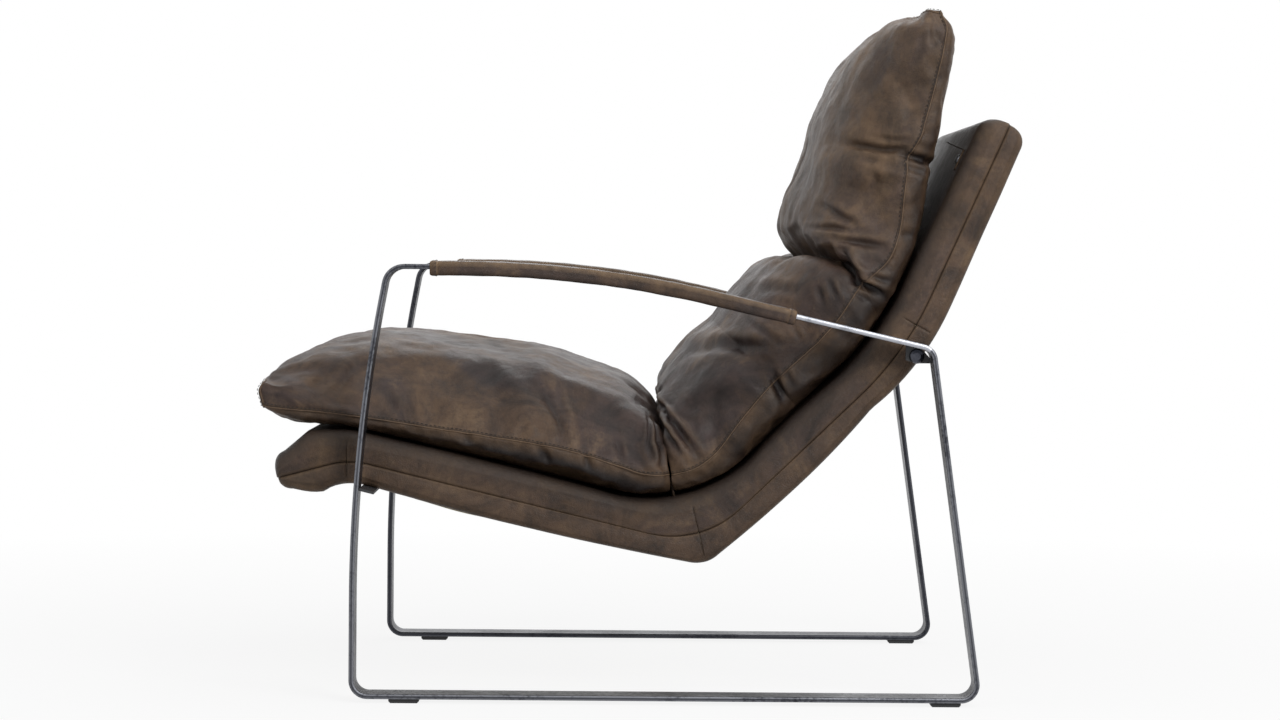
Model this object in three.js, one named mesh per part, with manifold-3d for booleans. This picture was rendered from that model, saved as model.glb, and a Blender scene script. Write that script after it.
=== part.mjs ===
// Lounge chair. Two loops of flat steel bar carry a padded leather shell, with a loose
// seat cushion and a channelled back cushion lying in it. Millimetres, +Z up.
// X runs across the chair, the sitter faces -Y and sits with the left arm at +X.
// The origin is on the floor under the middle of the chair.

import * as THREE from 'three';
import { mergeVertices } from 'three/addons/utils/BufferGeometryUtils.js';
import Module from 'manifold-3d';

const wasm = await Module();
wasm.setup();

// Whole chair
const overallWidth = 700;
const clearance = 0.3; // gap kept between pieces that touch
const overrun = 6; // how far a cutting shape runs past what it cuts

// Side frame, a closed loop of flat bar. Corners are where the straight runs would meet.
const barWidth = 45;
const barThickness = 6;
const railHeight = 5; // underside of the floor rail above the floor
const frontFootY = -340;
const rearFootY = 409;
const footRadius = 22;
const legBowZ = 302;
const legBowRadius = 1950;
const armFrontY = -299;
const armTopZ = 519;
const armFrontRadius = 26;
const armBowY = -56;
const armBowRadius = 1344;
const rearCornerY = 350;
const rearCornerZ = 426;
const rearCornerRadius = 20;

// Leather sleeve on the arm, measured along the bar from the end of the front bend
const sleeveStart = 30.4;
const sleeveLength = 437;
const sleeveSide = 3.4; // leather and foam beside the bar
const sleeveAbove = 3.4;
const sleeveBelow = 7;
const sleeveRadius = 5;
const sleeveLip = 3; // leather closed over each end of the foam
const sleeveEndRound = 2.4;

// Glides under the floor rails
const glideLength = 36;
const glideWidth = 36;
const glideChamfer = 2.2;
const frontGlideY = -275;
const rearGlideY = 366;
const screwShank = 4;
const screwHead = 8;
const screwHeadHeight = 1.6;
const screwRecess = 1;

// Shell side profile. Its seam line runs from the front lip to the top of the back.
const shellGap = 15; // between the shell and each side frame
const lipY = -417.4;
const lipZ = 266;
const kneeY = -346;
const kneeZ = 285;
const creaseY = 76;
const creaseZ = 184;
const bendY = 317;
const bendZ = 416.5;
const shellTopY = 432.3;
const shellTopZ = 672.8;
const lipFullShare = 0.48; // where, from lip to knee, the lip has its full depth
const lowerBackShare = 0.78; // where, from crease to bend, the back starts to thicken
const belowLip = 15;
const belowSeat = 26;
const belowCrease = 22.6;
const belowLowerBack = 22;
const belowBend = 29;
const belowTop = 25;
const aboveLip = 27;
const aboveLipFull = 44;
const aboveSeat = 32;
const kneeRadius = 90;
const creaseSeamRadius = 120;
const creaseUnderRadius = 40;
const creaseTopRadius = 180;
const bendRadius = 430;
const lipRound = 14;
const lipUnderRound = 11;
const lipTopRound = 17;
const topRound = 20;
const topBackRound = 21;
const topFrontRound = 25;
const shellUnderCorner = 9;
const shellTopCorner = 16;
const coverThickness = 1.5;

// Inside the shell: bent side rails, cross rods and webbing in a hollow under the foam
const hollowWall = 13; // foam beside the hollow
const hollowRoof = 1.4; // roof of the hollow below the seam line
const hollowFront = 46; // foam left ahead of the hollow
const hollowTop = 26; // foam left above it
const railRadius = 8;
const railInset = 12.2; // side rail axis in from the wall of the hollow
const railDepth = 12;
const crossFromEnd = 15; // cross rod axis from the ends of the side rails
const webbingWidth = 50;
const webbingThickness = 1.6;
const seatWebbingCount = 4;
const backWebbingCount = 2; // in each of the two flat parts of the back

// Dust cover under the seat
const dustCoverThickness = 0.8;
const dustCoverInset = 28; // from the side of the shell
const dustCoverStart = 128;
const dustCoverOverlap = 15; // over the leather round the window
const dustCoverToCrease = 40;

// Rear fixing: a domed bolt through a gusset and a collar into a lug on the side rail
const gussetThickness = 5;
const gussetInset = 11; // outer face of the gusset in from the inner edge of the bar
const gussetReach = 13;
const gussetDrop = 8.5;
const gussetRise = 5;
const gussetChamfer = 9;
const boltShank = 8;
const boltHole = 8.6;
const boltHead = 18;
const boltHeadHeight = 6.5;
const boltEdgeShare = 0.15; // of the head's height, below its dome
const boltAboveUnder = 8.4; // bolt axis above the underside of the shell
const boltAlong = 5; // bolt axis past the middle of the bend
const collarDiameter = 16;
const lugThickness = 8;
const lugLength = 24;
const lugTop = 9;

// Front fixing: a bracket on the leg, with a bolt up into the side rail
const bracketLength = 17;
const bracketThickness = 3;
const bracketReach = 20; // inwards past the axis of the side rail
const bracketLegMargin = 5;
const frontBoltShank = 6;
const frontBoltHole = 6.6;
const frontBoltHead = 12;
const frontBoltHeadHeight = 3;
const frontBoltChamfer = 1.2;
const frontBoltReach = 10; // length of the bolt inside the rail

// Cushions. Heights are above the surface of the shell, square to it.
const cushionGap = 0.8;
const seatInset = 11; // sides of the seat cushion in from those of the shell
const seatOverhang = 123.8; // front end of the seat cushion ahead of the knee
const seatCrown = 144;
const seatSideDraw = 7;
const backInset = 13;
const backCrown = 155;
const pillowDraw = 4.5; // how far the sides of each pillow curve in
const cushionSplit = 74; // share line between the cushions, along the crease curve
const headLean = 14 * Math.PI / 180; // how much more upright the head part stands
const neckFromBend = 130;
const backTopFromNeck = 282;
const neckRadius = 320;
const joinThickness = 3;
const joinHeight = 24;
const joinSide = 12;

// Straps that hold the head of the back cushion to the shell
const strapThickness = 1.6;
const strapWidth = 20;
const strapInset = 58; // strap middle in from the side of the shell
const strapBelowTop = 53; // strap foot on the shell, down from its top along the seam line
const strapFoot = 26;
const strapRise = 21;
const snapDiameter = 12;
const snapTopDiameter = 8;
const snapHeight = 3;
const snapEdge = 1;

// Seat cushion: place along its length and height, as shares
const seatCrownShares = [
  [0, 0.28], [0.013, 0.4], [0.057, 0.52], [0.1, 0.645], [0.145, 0.745], [0.193, 0.815], [0.242, 0.855],
  [0.344, 0.905], [0.446, 0.945], [0.547, 0.985], [0.62, 1], [0.705, 0.97], [0.813, 0.93],
  [0.892, 0.88], [0.956, 0.83], [0.985, 0.77], [1, 0.66],
];
const seatSeamShares = [[0, 0.03], [0.15, 0.1], [0.41, 0.19], [0.7, 0.275], [0.84, 0.26], [1, 0.2]];
const seatWidthShares = [[0, 0.965], [0.02, 0.99], [0.06, 1], [0.94, 1], [0.98, 0.99], [1, 0.96]];

// Back cushion: place along its length and height, as shares
const channelShares = [0.262, 0.467, 0.752]; // the three sewn channels
const backCrownShares = [
  [0, 0.72], [0.013, 0.82], [0.06, 0.875], [0.16, 0.915], [0.21, 0.94], [0.262, 0.93], [0.3, 0.965],
  [0.36, 0.985], [0.425, 0.97], [0.45, 0.915], [0.467, 0.76], [0.485, 0.87], [0.515, 0.925],
  [0.568, 0.975], [0.65, 1], [0.69, 0.965], [0.73, 0.938], [0.752, 0.918], [0.805, 0.893],
  [0.86, 0.832], [0.892, 0.778], [0.922, 0.69], [0.954, 0.585], [0.98, 0.47], [1, 0.33],
];
const backSeamShares = [
  [0, 0.18], [0.06, 0.18], [0.18, 0.28], [0.26, 0.315], [0.4, 0.3], [0.467, 0.3], [0.57, 0.19],
  [0.72, 0.225], [0.752, 0.24], [0.8, 0.17], [0.98, 0.13], [1, 0.2],
];
const backLiftShares = [[0, 0], [0.93, 0], [0.965, 0.02], [0.985, 0.08], [1, 0.17]]; // rounded underside
const channelHalfShare = 0.03; // half the length that a channel pulls in
const channelDraw = 10;
// How square a section is: 2 is an ellipse, and the boxed front and top edges are squarer
const seatPowerShares = [[0, 8], [0.03, 5.5], [0.1, 3], [0.2, 2.25], [0.95, 2.25], [1, 2.6]];
const backPowerShares = [[0, 2.6], [0.06, 2.25], [0.84, 2.3], [0.94, 3.2], [1, 5]];
const underPower = 5;

const largestRound = 0.96; // the most of a section's half size that its rounded corners take

// Mesh steps
const arcSteps = 5;
const bowSteps = 8;
const creaseSteps = 8;
const bendSteps = 4;
const edgeSteps = 3;
const endSteps = 3;
const rodSteps = 8;
const roundSteps = 20;
const crownSteps = 16;
const underSteps = 8;
const seatStations = 22;
const pillowStations = 9;

const sides = [['left', 1], ['right', -1]];
const chair = new THREE.Group();

// Materials

const plainMaterial = (color, roughness, metalness) =>
  new THREE.MeshStandardMaterial({ color, roughness, metalness });
const steel = plainMaterial(0x5c5d62, 0.38, 1);
const zinc = plainMaterial(0x8a8b90, 0.35, 1);
const shellLeather = plainMaterial(0x3d3029, 0.5, 0);
const cushionLeather = plainMaterial(0x45362b, 0.45, 0);
const plastic = plainMaterial(0x17171a, 0.55, 0);
const foam = plainMaterial(0xd8cda0, 0.95, 0);
const webbing = plainMaterial(0x2b2b2b, 0.9, 0);
const dustCloth = plainMaterial(0xcbb994, 0.95, 0);

// Mesh helpers

// Merges shared vertices, drops empty triangles and turns the faces outwards
function closedMesh(geometry) {
  const bare = geometry.clone();
  bare.deleteAttribute('normal');
  bare.deleteAttribute('uv');
  const merged = mergeVertices(bare);
  const place = merged.getAttribute('position');
  const corner = [new THREE.Vector3(), new THREE.Vector3(), new THREE.Vector3()];
  const faces = [];
  let volume = 0;
  for (let i = 0; i < merged.index.count; i += 3) {
    const face = [0, 1, 2].map((k) => merged.index.getX(i + k));
    if (new Set(face).size < 3) continue;
    face.forEach((vertex, k) => corner[k].fromBufferAttribute(place, vertex));
    volume += corner[0].dot(corner[1].clone().cross(corner[2]));
    faces.push(face);
  }
  merged.setIndex(faces.flatMap((face) => (volume < 0 ? face.reverse() : face)));
  merged.computeVertexNormals();
  return merged;
}

function solidOf(geometry) {
  const mesh = closedMesh(geometry);
  return new wasm.Manifold(new wasm.Mesh({
    numProp: 3,
    vertProperties: new Float32Array(mesh.getAttribute('position').array),
    triVerts: new Uint32Array(mesh.index.array),
  }));
}

function geometryOf(solid) {
  const mesh = solid.getMesh();
  const geometry = new THREE.BufferGeometry();
  geometry.setAttribute('position', new THREE.BufferAttribute(mesh.vertProperties, 3));
  geometry.setIndex(new THREE.BufferAttribute(mesh.triVerts, 1));
  return closedMesh(geometry);
}

function cutAway(geometry, cutters) {
  const start = solidOf(geometry);
  return geometryOf(cutters.reduce((rest, cutter) => rest.subtract(solidOf(cutter)), start));
}

function addPiece(name, geometry, material, place = [0, 0, 0]) {
  const mesh = new THREE.Mesh(closedMesh(geometry), material);
  mesh.name = name;
  mesh.position.set(...place);
  chair.add(mesh);
}

function mirrored(geometry) {
  return closedMesh(geometry.clone().scale(-1, 1, 1));
}

// Extrudes an outline of [y, z] points along X, from x to x + width
function plate(outline, holes, x, width) {
  const flat = (points) => points.map(([y, z]) => new THREE.Vector2(y, z));
  const edge = flat(outline);
  const shape = new THREE.Shape(THREE.ShapeUtils.isClockWise(edge) ? edge.reverse() : edge);
  shape.holes = holes.map((hole) => new THREE.Path(flat(hole)));
  const geometry = new THREE.ExtrudeGeometry(shape, { depth: width, bevelEnabled: false });
  const alongX = new THREE.Matrix4().makeBasis(
    new THREE.Vector3(0, 1, 0), new THREE.Vector3(0, 0, 1), new THREE.Vector3(1, 0, 0));
  return geometry.applyMatrix4(alongX).translate(x, 0, 0);
}

// A turned piece from [radius, height] points, standing on Z
function turned(profile) {
  const points = profile.map(([radius, height]) => new THREE.Vector2(radius, height));
  return closedMesh(new THREE.LatheGeometry(points, roundSteps).rotateX(Math.PI / 2));
}

function rod(radius, start, length) {
  return turned([[0, start], [radius, start], [radius, start + length], [0, start + length]]);
}

// Turns a piece that stands on Z so that it points along +X or -X
function pointAcross(geometry, side) {
  return geometry.rotateY(side * Math.PI / 2);
}

// Paths in the side view. A path's corners are { y, z, radius, steps }.

const corner = (y, z, radius = 0, steps = 1) => ({ y, z, radius, steps });

function cornerTurn(corners, index, closed) {
  const count = corners.length;
  const last = closed ? count : count - 1;
  const direction = (from, to) => {
    const a = corners[(from + count) % count];
    const b = corners[to % count];
    const length = Math.hypot(b.y - a.y, b.z - a.z);
    return [(b.y - a.y) / length, (b.z - a.z) / length, length];
  };
  const leaving = index < last ? direction(index, index + 1) : direction(index - 1, index);
  const arriving = closed || index > 0 ? direction(index - 1, index) : leaving;
  const turn = Math.atan2(
    arriving[0] * leaving[1] - arriving[1] * leaving[0],
    arriving[0] * leaving[0] + arriving[1] * leaving[1]);
  return { arriving, leaving, turn };
}

// Moves each corner to the left of the path by its own distance
function offsetCorners(corners, distances, closed = false) {
  return corners.map((at, index) => {
    const { arriving, leaving, turn } = cornerTurn(corners, index, closed);
    const distance = Array.isArray(distances) ? distances[index] : distances;
    const reach = distance / (1 + Math.cos(turn));
    return {
      ...at,
      y: at.y - (arriving[1] + leaving[1]) * reach,
      z: at.z + (arriving[0] + leaving[0]) * reach,
      radius: Math.max(at.radius - Math.sign(turn) * distance, 0),
    };
  });
}

// Points along a path with a tangent arc at each rounded corner
function roundedPath(corners, closed = false) {
  const turns = corners.map((at, index) => cornerTurn(corners, index, closed));
  const wanted = corners.map((at, i) => at.radius * Math.tan(Math.abs(turns[i].turn) / 2));
  const reaches = wanted.map((reach, i) => {
    const before = wanted[(i + corners.length - 1) % corners.length];
    const after = wanted[(i + 1) % corners.length];
    if (reach === 0) return 0;
    const { arriving, leaving } = turns[i];
    return reach * Math.min(arriving[2] / (reach + before), leaving[2] / (reach + after), 1);
  });
  return corners.flatMap((at, i) => {
    const { arriving, leaving, turn } = turns[i];
    if (reaches[i] === 0) return [[at.y, at.z]];
    const radius = reaches[i] / Math.tan(Math.abs(turn) / 2);
    const hand = Math.sign(turn);
    const startY = at.y - arriving[0] * reaches[i];
    const startZ = at.z - arriving[1] * reaches[i];
    const centreY = startY - arriving[1] * radius * hand;
    const centreZ = startZ + arriving[0] * radius * hand;
    return Array.from({ length: at.steps + 1 }, (_, k) => {
      const angle = turn * k / at.steps;
      const armY = startY - centreY;
      const armZ = startZ - centreZ;
      return [
        centreY + armY * Math.cos(angle) - armZ * Math.sin(angle),
        centreZ + armY * Math.sin(angle) + armZ * Math.cos(angle),
      ];
    });
  });
}

// How many points of a rounded path come before those of one corner
function firstPoint(corners, at) {
  const before = corners.slice(0, corners.indexOf(at));
  return before.reduce((sum, { radius, steps }) => sum + (radius > 0 ? steps : 0), before.length);
}

// Stations along a path: a point, and unit directions with their lengths below and above it
function stationsOf(middle, under, over) {
  let along = 0;
  return middle.map(([y, z], i) => {
    if (i > 0) along += Math.hypot(y - middle[i - 1][0], z - middle[i - 1][1]);
    const belowLength = Math.hypot(under[i][0] - y, under[i][1] - z);
    const aboveLength = Math.hypot(over[i][0] - y, over[i][1] - z);
    return {
      along, y, z, belowLength, aboveLength,
      below: [(under[i][0] - y) / belowLength, (under[i][1] - z) / belowLength],
      above: [(over[i][0] - y) / aboveLength, (over[i][1] - z) / aboveLength],
    };
  });
}

function mixed(a, b, share) {
  const mix = (p, q) => (Array.isArray(p) ? p.map((value, i) => mix(value, q[i])) : p + (q - p) * share);
  return Object.fromEntries(Object.keys(a).map((key) => [key, mix(a[key], b[key])]));
}

function stationAt(stations, along) {
  const next = stations.findIndex((station, i) => i > 0 && station.along >= along);
  const last = next < 0 ? stations.length - 1 : next;
  const from = stations[last - 1];
  const to = stations[last];
  return mixed(from, to, (along - from.along) / (to.along - from.along));
}

function stationsBetween(stations, start, end) {
  const room = (end - start) / stations.length / stations.length;
  const inside = stations.filter(({ along }) => along > start + room && along < end - room);
  return [stationAt(stations, start), ...inside, stationAt(stations, end)];
}

// Places a section point: x across, height above the station or below it where negative
function placed(station, [x, height]) {
  const [directionY, directionZ] = height < 0 ? station.below : station.above;
  const reach = Math.abs(height);
  return [x, station.y + directionY * reach, station.z + directionZ * reach];
}

// A closed skin over stations, each with its own section of the same number of points
function loft(stations, sectionAt) {
  const sections = stations.map((station, i) => sectionAt(station, i));
  const count = sections[0].length;
  const positions = sections.flatMap((section, i) => section.flatMap((point) => placed(stations[i], point)));
  const index = [];
  for (let i = 0; i < stations.length - 1; i += 1) {
    for (let j = 0; j < count; j += 1) {
      const a = i * count + j;
      const b = i * count + (j + 1) % count;
      index.push(a, b, a + count, b, b + count, a + count);
    }
  }
  const flat = (section) => section.map(([x, height]) => new THREE.Vector2(x, height));
  const lastRing = (stations.length - 1) * count;
  THREE.ShapeUtils.triangulateShape(flat(sections[0]), []).forEach(([a, b, c]) => index.push(a, c, b));
  THREE.ShapeUtils.triangulateShape(flat(sections.at(-1)), [])
    .forEach(([a, b, c]) => index.push(lastRing + a, lastRing + b, lastRing + c));
  const geometry = new THREE.BufferGeometry();
  geometry.setAttribute('position', new THREE.Float32BufferAttribute(positions, 3));
  geometry.setIndex(index);
  return geometry;
}

// Section outlines as [x, height] points, counter-clockwise

function arcPoints(x, height, radius, start, end, steps) {
  return Array.from({ length: steps + 1 }, (_, k) => {
    const angle = start + (end - start) * k / steps;
    return [x + radius * Math.cos(angle), height + radius * Math.sin(angle)];
  });
}

function boxSection(halfWidth, low, high, lowRadius = 0, highRadius = 0) {
  const quarter = Math.PI / 2;
  const limit = Math.min(halfWidth, (high - low) / 2) * largestRound;
  const round = (x, height, radius, start) => {
    if (radius === 0) return [[x, height]];
    const r = Math.min(radius, limit);
    const centreX = x - Math.sign(x) * r;
    const centreHeight = start === 0 || start === quarter ? height - r : height + r;
    return arcPoints(centreX, centreHeight, r, start, start + quarter, edgeSteps);
  };
  return [
    ...round(halfWidth, low, lowRadius, -quarter),
    ...round(halfWidth, high, highRadius, 0),
    ...round(-halfWidth, high, highRadius, quarter),
    ...round(-halfWidth, low, lowRadius, 2 * quarter),
  ];
}

function circleSection(x, height, radius, steps) {
  return arcPoints(x, height, radius, 0, 2 * Math.PI * (steps - 1) / steps, steps - 1);
}

// Smooth curve through [place, value] shares
function curveAt(shares, place) {
  const last = shares.length - 1;
  const found = shares.findIndex((pair, i) => i > 0 && place <= pair[0]);
  const i = found < 0 ? last : found;
  const [startPlace, startValue] = shares[i - 1];
  const [endPlace, endValue] = shares[i];
  const slopeAt = (k) => {
    if (k === 0 || k === last) return 0;
    return (shares[k + 1][1] - shares[k - 1][1]) / (shares[k + 1][0] - shares[k - 1][0]);
  };
  const span = endPlace - startPlace;
  const t = Math.min(Math.max((place - startPlace) / span, 0), 1);
  const rest = 1 - t;
  return startValue * rest * rest * (1 + 2 * t) + endValue * t * t * (1 + 2 * rest)
    + span * t * rest * (slopeAt(i - 1) * rest - slopeAt(i) * t);
}

// Side frames

const armFront = corner(armFrontY, armTopZ, armFrontRadius, arcSteps);
const armBow = corner(armBowY, armTopZ, armBowRadius, bowSteps);
const rearCorner = corner(rearCornerY, rearCornerZ, rearCornerRadius, arcSteps);
const frameCorners = [
  corner(frontFootY, railHeight, footRadius, arcSteps),
  corner(frontFootY, legBowZ, legBowRadius, bowSteps),
  armFront, armBow, rearCorner,
  corner(rearFootY, railHeight, footRadius, arcSteps),
];
const frameOutline = roundedPath(frameCorners, true);
const frameInnerCorners = offsetCorners(frameCorners, -barThickness, true);
const frameInside = roundedPath(frameInnerCorners, true);
const barInnerX = overallWidth / 2 - barWidth;
const barMiddleX = overallWidth / 2 - barWidth / 2;
const shellHalfWidth = barInnerX - shellGap;

function addSideFrames() {
  const screwHoles = [frontGlideY, rearGlideY].map((y) =>
    rod(screwShank / 2 + clearance, railHeight - overrun, barThickness + 2 * overrun).translate(0, y, 0));
  const loop = cutAway(plate(frameOutline, [frameInside], -barWidth / 2, barWidth), screwHoles);
  sides.forEach(([side, sign]) => addPiece(`frame_loop_${side}`, loop, steel, [sign * barMiddleX, 0, 0]));
}

// Glides and their screws

function addGlides() {
  const top = railHeight - clearance;
  const reach = glideLength / 2;
  const outline = [
    [-reach + glideChamfer, 0], [reach - glideChamfer, 0], [reach, glideChamfer],
    [reach, top], [-reach, top], [-reach, glideChamfer],
  ];
  const headTop = screwRecess + screwHeadHeight;
  const sink = turned([
    [0, -overrun], [screwHead / 2 + clearance, -overrun], [screwHead / 2 + clearance, screwRecess],
    [screwShank / 2 + clearance, headTop + clearance], [screwShank / 2 + clearance, top + overrun],
    [0, top + overrun],
  ]);
  const glide = cutAway(plate(outline, [], -glideWidth / 2, glideWidth), [sink]);
  const screw = turned([
    [0, screwRecess], [screwHead / 2, screwRecess], [screwShank / 2, headTop],
    [screwShank / 2, railHeight + barThickness], [0, railHeight + barThickness],
  ]);
  [['front', frontGlideY], ['rear', rearGlideY]].forEach(([end, y]) => {
    sides.forEach(([side, sign]) => {
      addPiece(`glide_${end}_${side}`, glide, plastic, [sign * barMiddleX, y, 0]);
      addPiece(`glide_screw_${end}_${side}`, screw, zinc, [sign * barMiddleX, y, 0]);
    });
  });
}

// Arm sleeves: leather over foam, round the bar

function addArmSleeves() {
  const armLine = (distance) => roundedPath(offsetCorners(frameCorners, distance, true), true)
    .slice(firstPoint(frameCorners, armBow) - 1, firstPoint(frameCorners, rearCorner) + 1);
  const half = barThickness / 2;
  const stations = stationsOf(armLine(-half), armLine(-barThickness), armLine(0));
  const start = sleeveStart;
  const end = sleeveStart + sleeveLength;
  const section = (inset) => boxSection(
    barWidth / 2 + sleeveSide - inset, inset - half - sleeveBelow, half + sleeveAbove - inset,
    sleeveRadius - inset, sleeveRadius - inset);
  const barSpace = () => boxSection(barWidth / 2 + clearance, -half - clearance, half + clearance);

  const body = stationsBetween(stations, start + sleeveEndRound, end - sleeveEndRound);
  const skin = [stationAt(stations, start), ...body, stationAt(stations, end)];
  const isEnd = (i) => i === 0 || i === skin.length - 1;
  const outside = loft(skin, (station, i) => section(isEnd(i) ? sleeveEndRound / 2 : 0));
  const foamRoom = loft(stationsBetween(stations, start + sleeveLip, end - sleeveLip),
    () => section(coverThickness));
  const through = loft(stationsBetween(stations, start - overrun, end + overrun), barSpace);
  const cover = cutAway(outside, [foamRoom, through]);

  const foamSpan = stationsBetween(stations, start + sleeveLip + clearance, end - sleeveLip - clearance);
  const foamBody = cutAway(loft(foamSpan, () => section(coverThickness + clearance)), [through]);
  sides.forEach(([side, sign]) => {
    addPiece(`arm_cover_${side}`, cover, shellLeather, [sign * barMiddleX, 0, 0]);
    addPiece(`arm_foam_${side}`, foamBody, foam, [sign * barMiddleX, 0, 0]);
  });
}

// Shell profile: matched lines under, along and over the seam

const between = (from, to, share) =>
  corner(from.y + (to.y - from.y) * share, from.z + (to.z - from.z) * share);
const lip = corner(lipY, lipZ);
const knee = corner(kneeY, kneeZ, kneeRadius, arcSteps);
const crease = corner(creaseY, creaseZ, creaseSeamRadius, creaseSteps);
const bend = corner(bendY, bendZ, bendRadius, bendSteps);
const shellTop = corner(shellTopY, shellTopZ);
const seamCorners = [
  lip, between(lip, knee, lipFullShare), knee,
  crease, between(crease, bend, lowerBackShare), bend, shellTop,
];
// A line beside the seam, at its own distance from each corner and with its own crease radius
function besideSeam(distances, creaseRadius) {
  return offsetCorners(seamCorners, distances).map((at, i) =>
    ({ ...at, radius: seamCorners[i] === crease ? creaseRadius : seamCorners[i].radius }));
}
const underCorners = besideSeam(
  [-belowLip, -belowSeat, -belowSeat, -belowCrease, -belowLowerBack, -belowBend, -belowTop],
  creaseUnderRadius);
const overCorners = besideSeam(
  [aboveLip, aboveLipFull, aboveSeat, aboveSeat, aboveSeat, aboveSeat, aboveSeat],
  creaseTopRadius);
const shellStations = stationsOf(
  roundedPath(seamCorners), roundedPath(underCorners), roundedPath(overCorners));
const shellLength = shellStations.at(-1).along;

const middleStation = (at) => shellStations[firstPoint(seamCorners, at) + at.steps / 2];
const creaseStation = middleStation(crease);
const creaseAlong = creaseStation.along;
const bendAlong = middleStation(bend).along;
const unitFrom = (from, to) => {
  const length = Math.hypot(to.y - from.y, to.z - from.z);
  return [(to.y - from.y) / length, (to.z - from.z) / length];
};
const seatHeading = unitFrom(knee, crease);
const backHeading = unitFrom(bend, shellTop);

// The stations of the shell with its two ends rounded off, all drawn in by an inset
function roundedShell(inset) {
  const capped = (station, outwards, length, lowRound, highRound) => {
    const [directionY, directionZ] = outwards;
    return Array.from({ length: endSteps + 1 }, (_, k) => {
      const angle = k / endSteps * Math.PI / 2;
      const shift = Math.max(length - inset, 0) * Math.sin(angle);
      const shrink = 1 - Math.cos(angle);
      return {
        ...station,
        y: station.y + directionY * shift,
        z: station.z + directionZ * shift,
        belowLength: station.belowLength - inset - lowRound * shrink,
        aboveLength: station.aboveLength - inset - highRound * shrink,
        narrow: inset + length / 2 * shrink,
      };
    });
  };
  const first = shellStations[0];
  const last = shellStations.at(-1);
  const body = shellStations.slice(1, -1).map((station) => ({
    ...station,
    belowLength: station.belowLength - inset,
    aboveLength: station.aboveLength - inset,
    narrow: inset,
  }));
  const front = capped(first, unitFrom(shellStations[1], first), lipRound, lipUnderRound, lipTopRound);
  const top = capped(last, unitFrom(shellStations.at(-2), last), topRound, topBackRound, topFrontRound);
  return [...front.reverse(), ...body, ...top];
}

const hollowHalfWidth = shellHalfWidth - hollowWall;
const railX = hollowHalfWidth - railInset;
const railStart = hollowFront + clearance;
const railEnd = shellLength - hollowTop - clearance;
const crossPlaces = [
  ['front', railStart + crossFromEnd], ['crease', creaseAlong],
  ['bend', bendAlong], ['top', railEnd - crossFromEnd],
];
const dustCoverHalfWidth = shellHalfWidth - dustCoverInset;
const halfGap = clearance / 2;

function boltPlace() {
  const station = stationAt(shellStations, bendAlong + boltAlong);
  const [, y, z] = placed(station, [0, boltAboveUnder - station.belowLength]);
  return { y, z };
}

function frontBoltFrame() {
  const tilt = Math.atan2(seatHeading[1], seatHeading[0]);
  const underKnee = underCorners[seamCorners.indexOf(knee)];
  const underAt = (y) => underKnee.z + (y - underKnee.y) * Math.tan(tilt);
  const next = frameInside.findIndex(([y, z], i) => i > arcSteps && z > underAt(y));
  const legY = frameInside[next][0];
  const startY = legY + clearance;
  const middleY = startY + bracketLength / 2;
  const tip = belowSeat - railDepth - railRadius + frontBoltReach;
  return { tilt, startY, y: middleY, z: underAt(middleY), underAt, tip };
}

// Upholstery of the shell

function addShell() {
  const bolt = boltPlace();
  const frontBolt = frontBoltFrame();
  const sideHoles = sides.map(([, sign]) => pointAcross(
    rod(boltHole / 2 + clearance, 0, shellHalfWidth - railX + overrun), sign)
    .translate(sign * railX, bolt.y, bolt.z));
  const underHoles = sides.map(([, sign]) =>
    rod(frontBoltHole / 2 + clearance, -belowSeat / 2, belowSeat)
      .rotateX(frontBolt.tilt).translate(sign * railX, frontBolt.y, frontBolt.z));

  const outer = roundedShell(0);
  const inner = roundedShell(coverThickness);
  const upper = (low) => ({ aboveLength, narrow }) =>
    boxSection(shellHalfWidth - narrow, low, aboveLength, 0, shellTopCorner);
  const lower = (high) => ({ belowLength, narrow }) =>
    boxSection(shellHalfWidth - narrow, -belowLength, high, shellUnderCorner, 0);
  addPiece('shell_cover', cutAway(loft(outer, upper(halfGap)), [loft(inner, upper(-overrun))]), shellLeather);

  const windowSpan = stationsBetween(shellStations,
    dustCoverStart + dustCoverOverlap, creaseAlong - dustCoverToCrease - dustCoverOverlap);
  const window = loft(windowSpan, ({ belowLength }) =>
    boxSection(dustCoverHalfWidth - dustCoverOverlap, -belowLength - overrun, -belowLength + overrun));
  addPiece('shell_band', cutAway(loft(outer, lower(-halfGap)),
    [loft(inner, lower(overrun)), window, ...sideHoles, ...underHoles]), shellLeather);

  const filling = loft(roundedShell(coverThickness + clearance), ({ belowLength, aboveLength, narrow }) =>
    boxSection(shellHalfWidth - narrow, -belowLength, aboveLength, shellUnderCorner, shellTopCorner));
  const hollow = loft(stationsBetween(shellStations, hollowFront, shellLength - hollowTop),
    ({ belowLength }) => boxSection(hollowHalfWidth, -belowLength - overrun, -hollowRoof));
  const lugRoom = stationsBetween(shellStations,
    bendAlong + boltAlong - lugLength / 2 - clearance, bendAlong + boltAlong + lugLength / 2 + clearance);
  const lugRoomTop = lugTop - clearance;
  const pocket = loft(lugRoom, ({ belowLength }) => boxSection(
    railX + railRadius + lugThickness + 2 * clearance, -belowLength - overrun, -lugRoomTop));
  const creaseCut = loft([
    { ...creaseStation, y: creaseStation.y - halfGap }, { ...creaseStation, y: creaseStation.y + halfGap },
  ], ({ belowLength, aboveLength }) =>
    boxSection(shellHalfWidth + overrun, -belowLength - overrun, aboveLength + overrun));
  const padding = solidOf(cutAway(filling, [hollow, pocket, creaseCut, ...sideHoles, ...underHoles]));
  const parts = padding.decompose().sort((a, b) => a.boundingBox().min[1] - b.boundingBox().min[1]);
  addPiece('seat_foam', geometryOf(parts[0]), foam);
  addPiece('back_foam', geometryOf(parts[1]), foam);
}

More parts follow.
